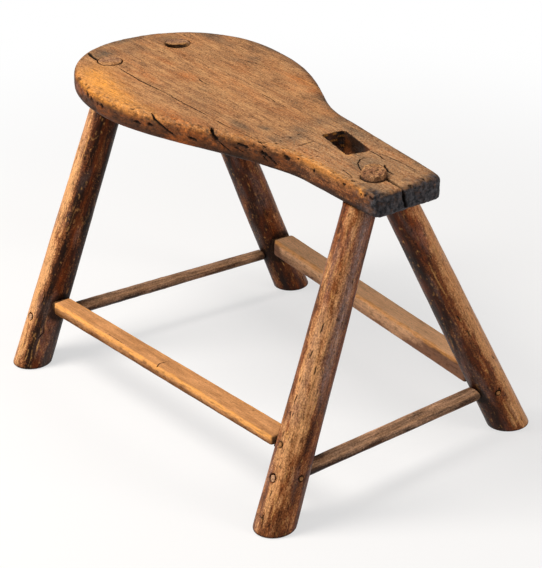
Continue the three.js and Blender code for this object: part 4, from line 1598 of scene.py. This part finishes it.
def year_rings(tree, mask, wander):
    """The shade of the year rings in end grain, one about every two millimetres."""
    turns = add_node(tree, "Math", {0: mask["pith"], 1: wander})
    turns = add_node(tree, "Math", {0: turns, 1: 2 * math.pi / YEAR_RING}, operation="MULTIPLY")
    ring = add_node(tree, "Math", {0: turns}, operation="SINE")
    ring = add_node(tree, "MapRange", {"Value": ring, "From Min": -1.0, "To Min": 0.66, "To Max": 1.06})
    return add_node(tree, "Mix", {"Factor": mask["end_grain"], "A": 1.0, "B": ring}, data_type="FLOAT")


def blackened(tree, surface, mask, ranged):
    """Soot on burnt ends, then black dirt packed in every hollow, and black painted shade round the
    feet, at the proud head's foot and below the stretchers' joints.
    """
    soot = add_node(tree, "Mix", {
        "Factor": ranged["soot"], "A": opaque(to_linear(SOOT)), "B": opaque(to_linear(ASH))}, data_type="RGBA")
    sooty = add_node(
        tree, "Math", {0: mask["charred"], 1: ranged["soot_edge"]}, operation="MULTIPLY", use_clamp=True)
    surface = add_node(tree, "Mix", {"Factor": sooty, "A": surface, "B": soot}, data_type="RGBA")
    return add_node(tree, "Mix", {
        "Factor": mask["grime_and_shade"], "A": surface, "B": opaque(to_linear(DIRT_AND_SHADE))}, data_type="RGBA")


def old_wood(name, browns, layers, look, place=(0, 0, 0), turn=(0, 0, 0)):
    """Old hand-polished wood, from dark through brown to pale. place and turn lay the grain's
    long way along the piece."""
    material = bpy.data.materials.new(name)
    material.use_nodes = True
    tree = material.node_tree
    tree.nodes.clear()
    grain = grains_along(tree, place, turn)
    ranged = grain_ranges(tree, grain, look)
    mask = {label: add_node(tree, "Attribute", out="Fac", attribute_name=label) for label in MASKS}
    surface = three_browns(tree, mask["tone"], browns, ranged)
    surface = layered(tree, surface, layers, grain)

    # Grain lines and fine dirt darken the wood, small flecks lighten it, and end grain shows its
    # year rings.
    rings = year_rings(tree, mask, ranged["wander"])
    for shade in (*(ranged[label] for label in SHADES), rings):
        surface = add_node(tree, "VectorMath", {0: surface, 1: shade}, operation="MULTIPLY")
    surface = blackened(tree, surface, mask, ranged)

    relief = add_node(tree, "Math", {0: ranged["line_height"], 1: ranged["speckle_height"]})
    relief = add_node(tree, "Math", {0: relief, 1: ranged["pore_height"]})
    bump = add_node(tree, "Bump", {"Height": relief, "Strength": 0.6, "Distance": 0.25 * MM})
    roughness = add_node(
        tree, "Math", {0: mask["grime_and_shade"], 1: 0.3, 2: ranged["polish"]}, operation="MULTIPLY_ADD",
        use_clamp=True)
    skin = add_node(tree, "BsdfPrincipled", {
        "Base Color": surface, "Roughness": roughness, "IOR": 1.5, "Specular IOR Level": 0.11, "Normal": bump})
    add_node(tree, "OutputMaterial", {"Surface": skin})
    return material


def seat_wood(settings):
    """Old fruitwood plank, hand-planed and polished by riders: satin, golden where it is rubbed and
    where a highlight is painted on its arrises.
    """
    layers = (
        Layer("warm", settings.warm, 0.75, 0.6, "scuffs"),
        Layer("stain_and_sheen", settings.stain_and_sheen, 1, 0.3, "scuffs"),
        Layer("rubbed", settings.rubbed, 1, 0.25, "scuffs"),
        Layer("battered", to_linear(DIRT_AND_SHADE), 0.8, 0.85, "crust"),
        Layer("bleached", to_linear("#cfae88"), 0.9, 1, "flecks"),
    )
    browns = (settings.dark, settings.brown, settings.pale)
    return old_wood("polished_fruitwood_plank", browns, layers, SEAT_LOOK)


def leg_wood(name, settings):
    """Branch wood with its under-bark skin left on, waxy from hands: a soft sheen on dark brown."""
    foot = leg_axis(LEGS[name], 0)
    turn = (leg_axis(LEGS[name], SEAT_TOP) - foot).to_track_quat("X", "Z").to_euler()
    layers = (
        Layer("warm", settings.red, 0.7, 0.7, "scuffs"),
        # The grey layer is grey bloom, and on the front right leg a painted sheen highlight.
        Layer("stain_and_sheen", to_linear("#99837d"), 0.7, 0.5, "flecks"),
        Layer("rubbed", settings.rubbed, 0.85, 0.3, "scuffs"),
    )
    browns = (settings.dark, settings.brown, settings.pale)
    return old_wood("waxed_branch_" + name, browns, layers, LEG_LOOK, foot * MM, turn)


def stretcher_wood(name, settings):
    """Bare rails and rods: dry, with plain straight grain, and arrises rubbed bright and lightened
    further as a painted highlight.
    """
    finish = STRETCHER_FINISHES[name]
    start, run, _, _ = stretcher_axes(STRETCHERS[name])
    shade, pale = getattr(settings, finish.shade), getattr(settings, finish.colour)
    layers = (
        Layer("warm", to_linear("#a8652c"), 0.35, 0.9, "scuffs"),
        Layer("stain_and_sheen", to_linear("#4c3a30"), 0.4, 0.8, "scuffs"),
        Layer("rubbed", to_linear(finish.rubbed), 0.9, 0.35, "scuffs"),
    )
    browns = (shade, halfway(shade, pale), pale)
    turn = run.to_track_quat("X", "Z").to_euler()
    return old_wood(finish.wood, browns, layers, finish.look, start * MM, turn)


def peg_wood(settings):
    """Whittled hardwood pegs: pale end grain, grimy round the rim."""
    layers = (Layer("rubbed", to_linear("#b07c4c"), 0.6, 0.3, "scuffs"),)
    browns = (settings.shade, settings.wood, settings.wood)
    return old_wood("whittled_peg_end_grain", browns, layers, PEG_LOOK)


# The stage.

def seen_share(tree, rays):
    """1 for the kinds of ray named, and 0 for all others."""
    seen = 0.0
    for ray in rays:
        seen = add_node(tree, "Math", {0: seen, 1: add_node(tree, "LightPath", out=ray)}, use_clamp=True)
    return seen


def paper_floor(settings):
    """Matt white paper. What the camera sees of it is mostly plain white, with a soft shadow,
    and further out it is all plain white."""
    material = bpy.data.materials.new("matt_white_paper")
    material.use_nodes = True
    tree = material.node_tree
    tree.nodes.clear()
    seen = seen_share(tree, ("Is Camera Ray", "Is Glossy Ray", "Is Transmission Ray"))
    here = add_node(tree, "TexCoord", out="Object")
    from_middle = add_node(tree, "VectorMath", {0: here}, out="Value", operation="LENGTH")
    glow = add_node(tree, "MapRange", {
        "Value": from_middle, "From Min": 0.5, "From Max": 1.5, "To Min": settings.floor_glow
    }, interpolation_type="SMOOTHSTEP")
    share = add_node(tree, "Math", {0: seen, 1: glow}, operation="MULTIPLY")
    paper = add_node(tree, "BsdfDiffuse", {"Color": opaque(settings.floor_colour)})
    white = add_node(tree, "Emission", {"Color": (1, 1, 1, 1), "Strength": 1.0})
    mixed = add_node(tree, "MixShader", {0: share, 1: paper, 2: white})
    add_node(tree, "OutputMaterial", {"Surface": mixed})
    return material


def lay_floor(settings):
    bm = bmesh.new()
    bmesh.ops.create_circle(bm, cap_ends=True, segments=96, radius=6)
    mesh = bpy.data.meshes.new("paper_floor")
    bm.to_mesh(mesh)
    bm.free()
    mesh.materials.append(paper_floor(settings))
    floor = bpy.data.objects.new("paper_floor", mesh)
    bpy.context.scene.collection.objects.link(floor)


def light_world(settings):
    """A white room: plain white to the camera, and an even soft light on the stool."""
    world = bpy.data.worlds.new("white_room")
    bpy.context.scene.world = world
    world.use_nodes = True
    tree = world.node_tree
    tree.nodes.clear()
    seen = seen_share(tree, ("Is Camera Ray", "Is Transmission Ray"))
    strength = add_node(tree, "MapRange", {"Value": seen, "To Min": settings.room_light, "To Max": 1.0})
    room = add_node(tree, "Background", {"Color": (1, 1, 1, 1), "Strength": strength})
    add_node(tree, "OutputWorld", {"Surface": room})


def add_lamp(name, place, aim, size, watts, tint):
    data = bpy.data.lights.new(name, "AREA")
    data.shape = "DISK"
    data.size = size
    data.energy = watts
    data.color = to_linear(tint)
    lamp = bpy.data.objects.new(name, data)
    bpy.context.scene.collection.objects.link(lamp)
    lamp.location = place
    lamp.rotation_euler = (Vector(aim) - Vector(place)).to_track_quat("-Z", "Y").to_euler()


def view_ways(settings):
    """The way back to the camera and the way to the right in the picture."""
    azimuth, elevation = settings.azimuth, settings.elevation
    level = math.cos(elevation)
    back = Vector((math.sin(azimuth) * level, -math.cos(azimuth) * level, math.sin(elevation)))
    return back, Vector((math.cos(azimuth), math.sin(azimuth), 0))


def set_camera(settings):
    back, _ = view_ways(settings)
    data = bpy.data.cameras.new("camera")
    data.lens = settings.focal_length
    data.sensor_width = 36
    data.clip_start = 0.05
    data.clip_end = 50
    camera = bpy.data.objects.new("camera", data)
    bpy.context.scene.collection.objects.link(camera)
    camera.location = Vector(settings.target) + back * settings.distance
    camera.rotation_mode = "QUATERNION"
    camera.rotation_quaternion = (-back).to_track_quat("-Z", "Y")
    bpy.context.scene.camera = camera


def light_stool(settings):
    """Lamps placed in metres to the picture's right, toward the camera and up from the floor."""
    back, right = view_ways(settings)
    toward = Vector((back.x, back.y, 0)).normalized()
    for name, lamp in LAMPS.items():
        place = right * lamp.right + toward * lamp.toward + Vector((0, 0, lamp.up))
        add_lamp(name, place, (0, 0, 0.25), lamp.size, lamp.watts, lamp.tint)


# Operators, one for each piece or group of like pieces and one for the stage.

class STOOL_OT_seat(bpy.types.Operator):
    """Build the seat plank with its mortise, checks, knocks and burnt end"""
    bl_idname = "stool.seat"
    bl_label = "Build seat"

    def execute(self, context):
        build_seat(context.scene.stool_seat)
        return {"FINISHED"}


class STOOL_OT_legs(bpy.types.Operator):
    """Build the four legs with their tenons, sockets and scratches"""
    bl_idname = "stool.legs"
    bl_label = "Build legs"

    def execute(self, context):
        for name in LEGS:
            build_leg(name, context.scene.stool_legs, context.scene.stool_pegs.radius / MM)
        return {"FINISHED"}


class STOOL_OT_side_stretchers(bpy.types.Operator):
    """Build the two flat rails between the front and rear legs"""
    bl_idname = "stool.side_stretchers"
    bl_label = "Build side stretchers"

    def execute(self, context):
        build_stretchers(context.scene, "side_stretcher_right", "side_stretcher_left")
        return {"FINISHED"}


class STOOL_OT_cross_stretchers(bpy.types.Operator):
    """Build the two hewn rods between the left and right legs"""
    bl_idname = "stool.cross_stretchers"
    bl_label = "Build cross stretchers"

    def execute(self, context):
        build_stretchers(context.scene, "cross_stretcher_rear", "cross_stretcher_front")
        return {"FINISHED"}


class STOOL_OT_pegs(bpy.types.Operator):
    """Build the pegs that lock the stretchers' tenons"""
    bl_idname = "stool.pegs"
    bl_label = "Build pegs"

    def execute(self, context):
        settings = context.scene.stool_pegs
        material = peg_wood(settings)
        for name in PEGS:
            build_peg(name, settings, material)
        return {"FINISHED"}


class STOOL_OT_stage(bpy.types.Operator):
    """Lay the paper floor, light the stool and set the camera"""
    bl_idname = "stool.stage"
    bl_label = "Set stage"

    def execute(self, context):
        settings = context.scene.stool_stage
        lay_floor(settings)
        light_world(settings)
        light_stool(settings)
        set_camera(settings)
        context.scene.view_settings.view_transform = "Standard"
        return {"FINISHED"}


OPERATORS = (
    STOOL_OT_stage, STOOL_OT_seat, STOOL_OT_legs, STOOL_OT_side_stretchers, STOOL_OT_cross_stretchers,
    STOOL_OT_pegs,
)


class STOOL_PT_panel(bpy.types.Panel):
    """Lists the stool's pieces and their settings"""
    bl_idname = "STOOL_PT_panel"
    bl_label = "Saddler's stool"
    bl_space_type = "VIEW_3D"
    bl_region_type = "UI"
    bl_category = "Stool"

    def draw(self, context):
        for operator in OPERATORS:
            self.layout.operator(operator.bl_idname)
        for key, group in SETTINGS.items():
            box = self.layout.box()
            for name in group.__annotations__:
                box.prop(getattr(context.scene, key), name)


CLASSES = (*SETTINGS.values(), *OPERATORS, STOOL_PT_panel)


def register():
    for made in CLASSES:
        bpy.utils.register_class(made)
    for key, group in SETTINGS.items():
        setattr(bpy.types.Scene, key, bpy.props.PointerProperty(type=group))


def unregister():
    for key in SETTINGS:
        delattr(bpy.types.Scene, key)
    for made in reversed(CLASSES):
        bpy.utils.unregister_class(made)


def main():
    register()
    for operator in OPERATORS:
        group, name = operator.bl_idname.split(".")
        getattr(getattr(bpy.ops, group), name)()


if __name__ == "__main__":
    main()
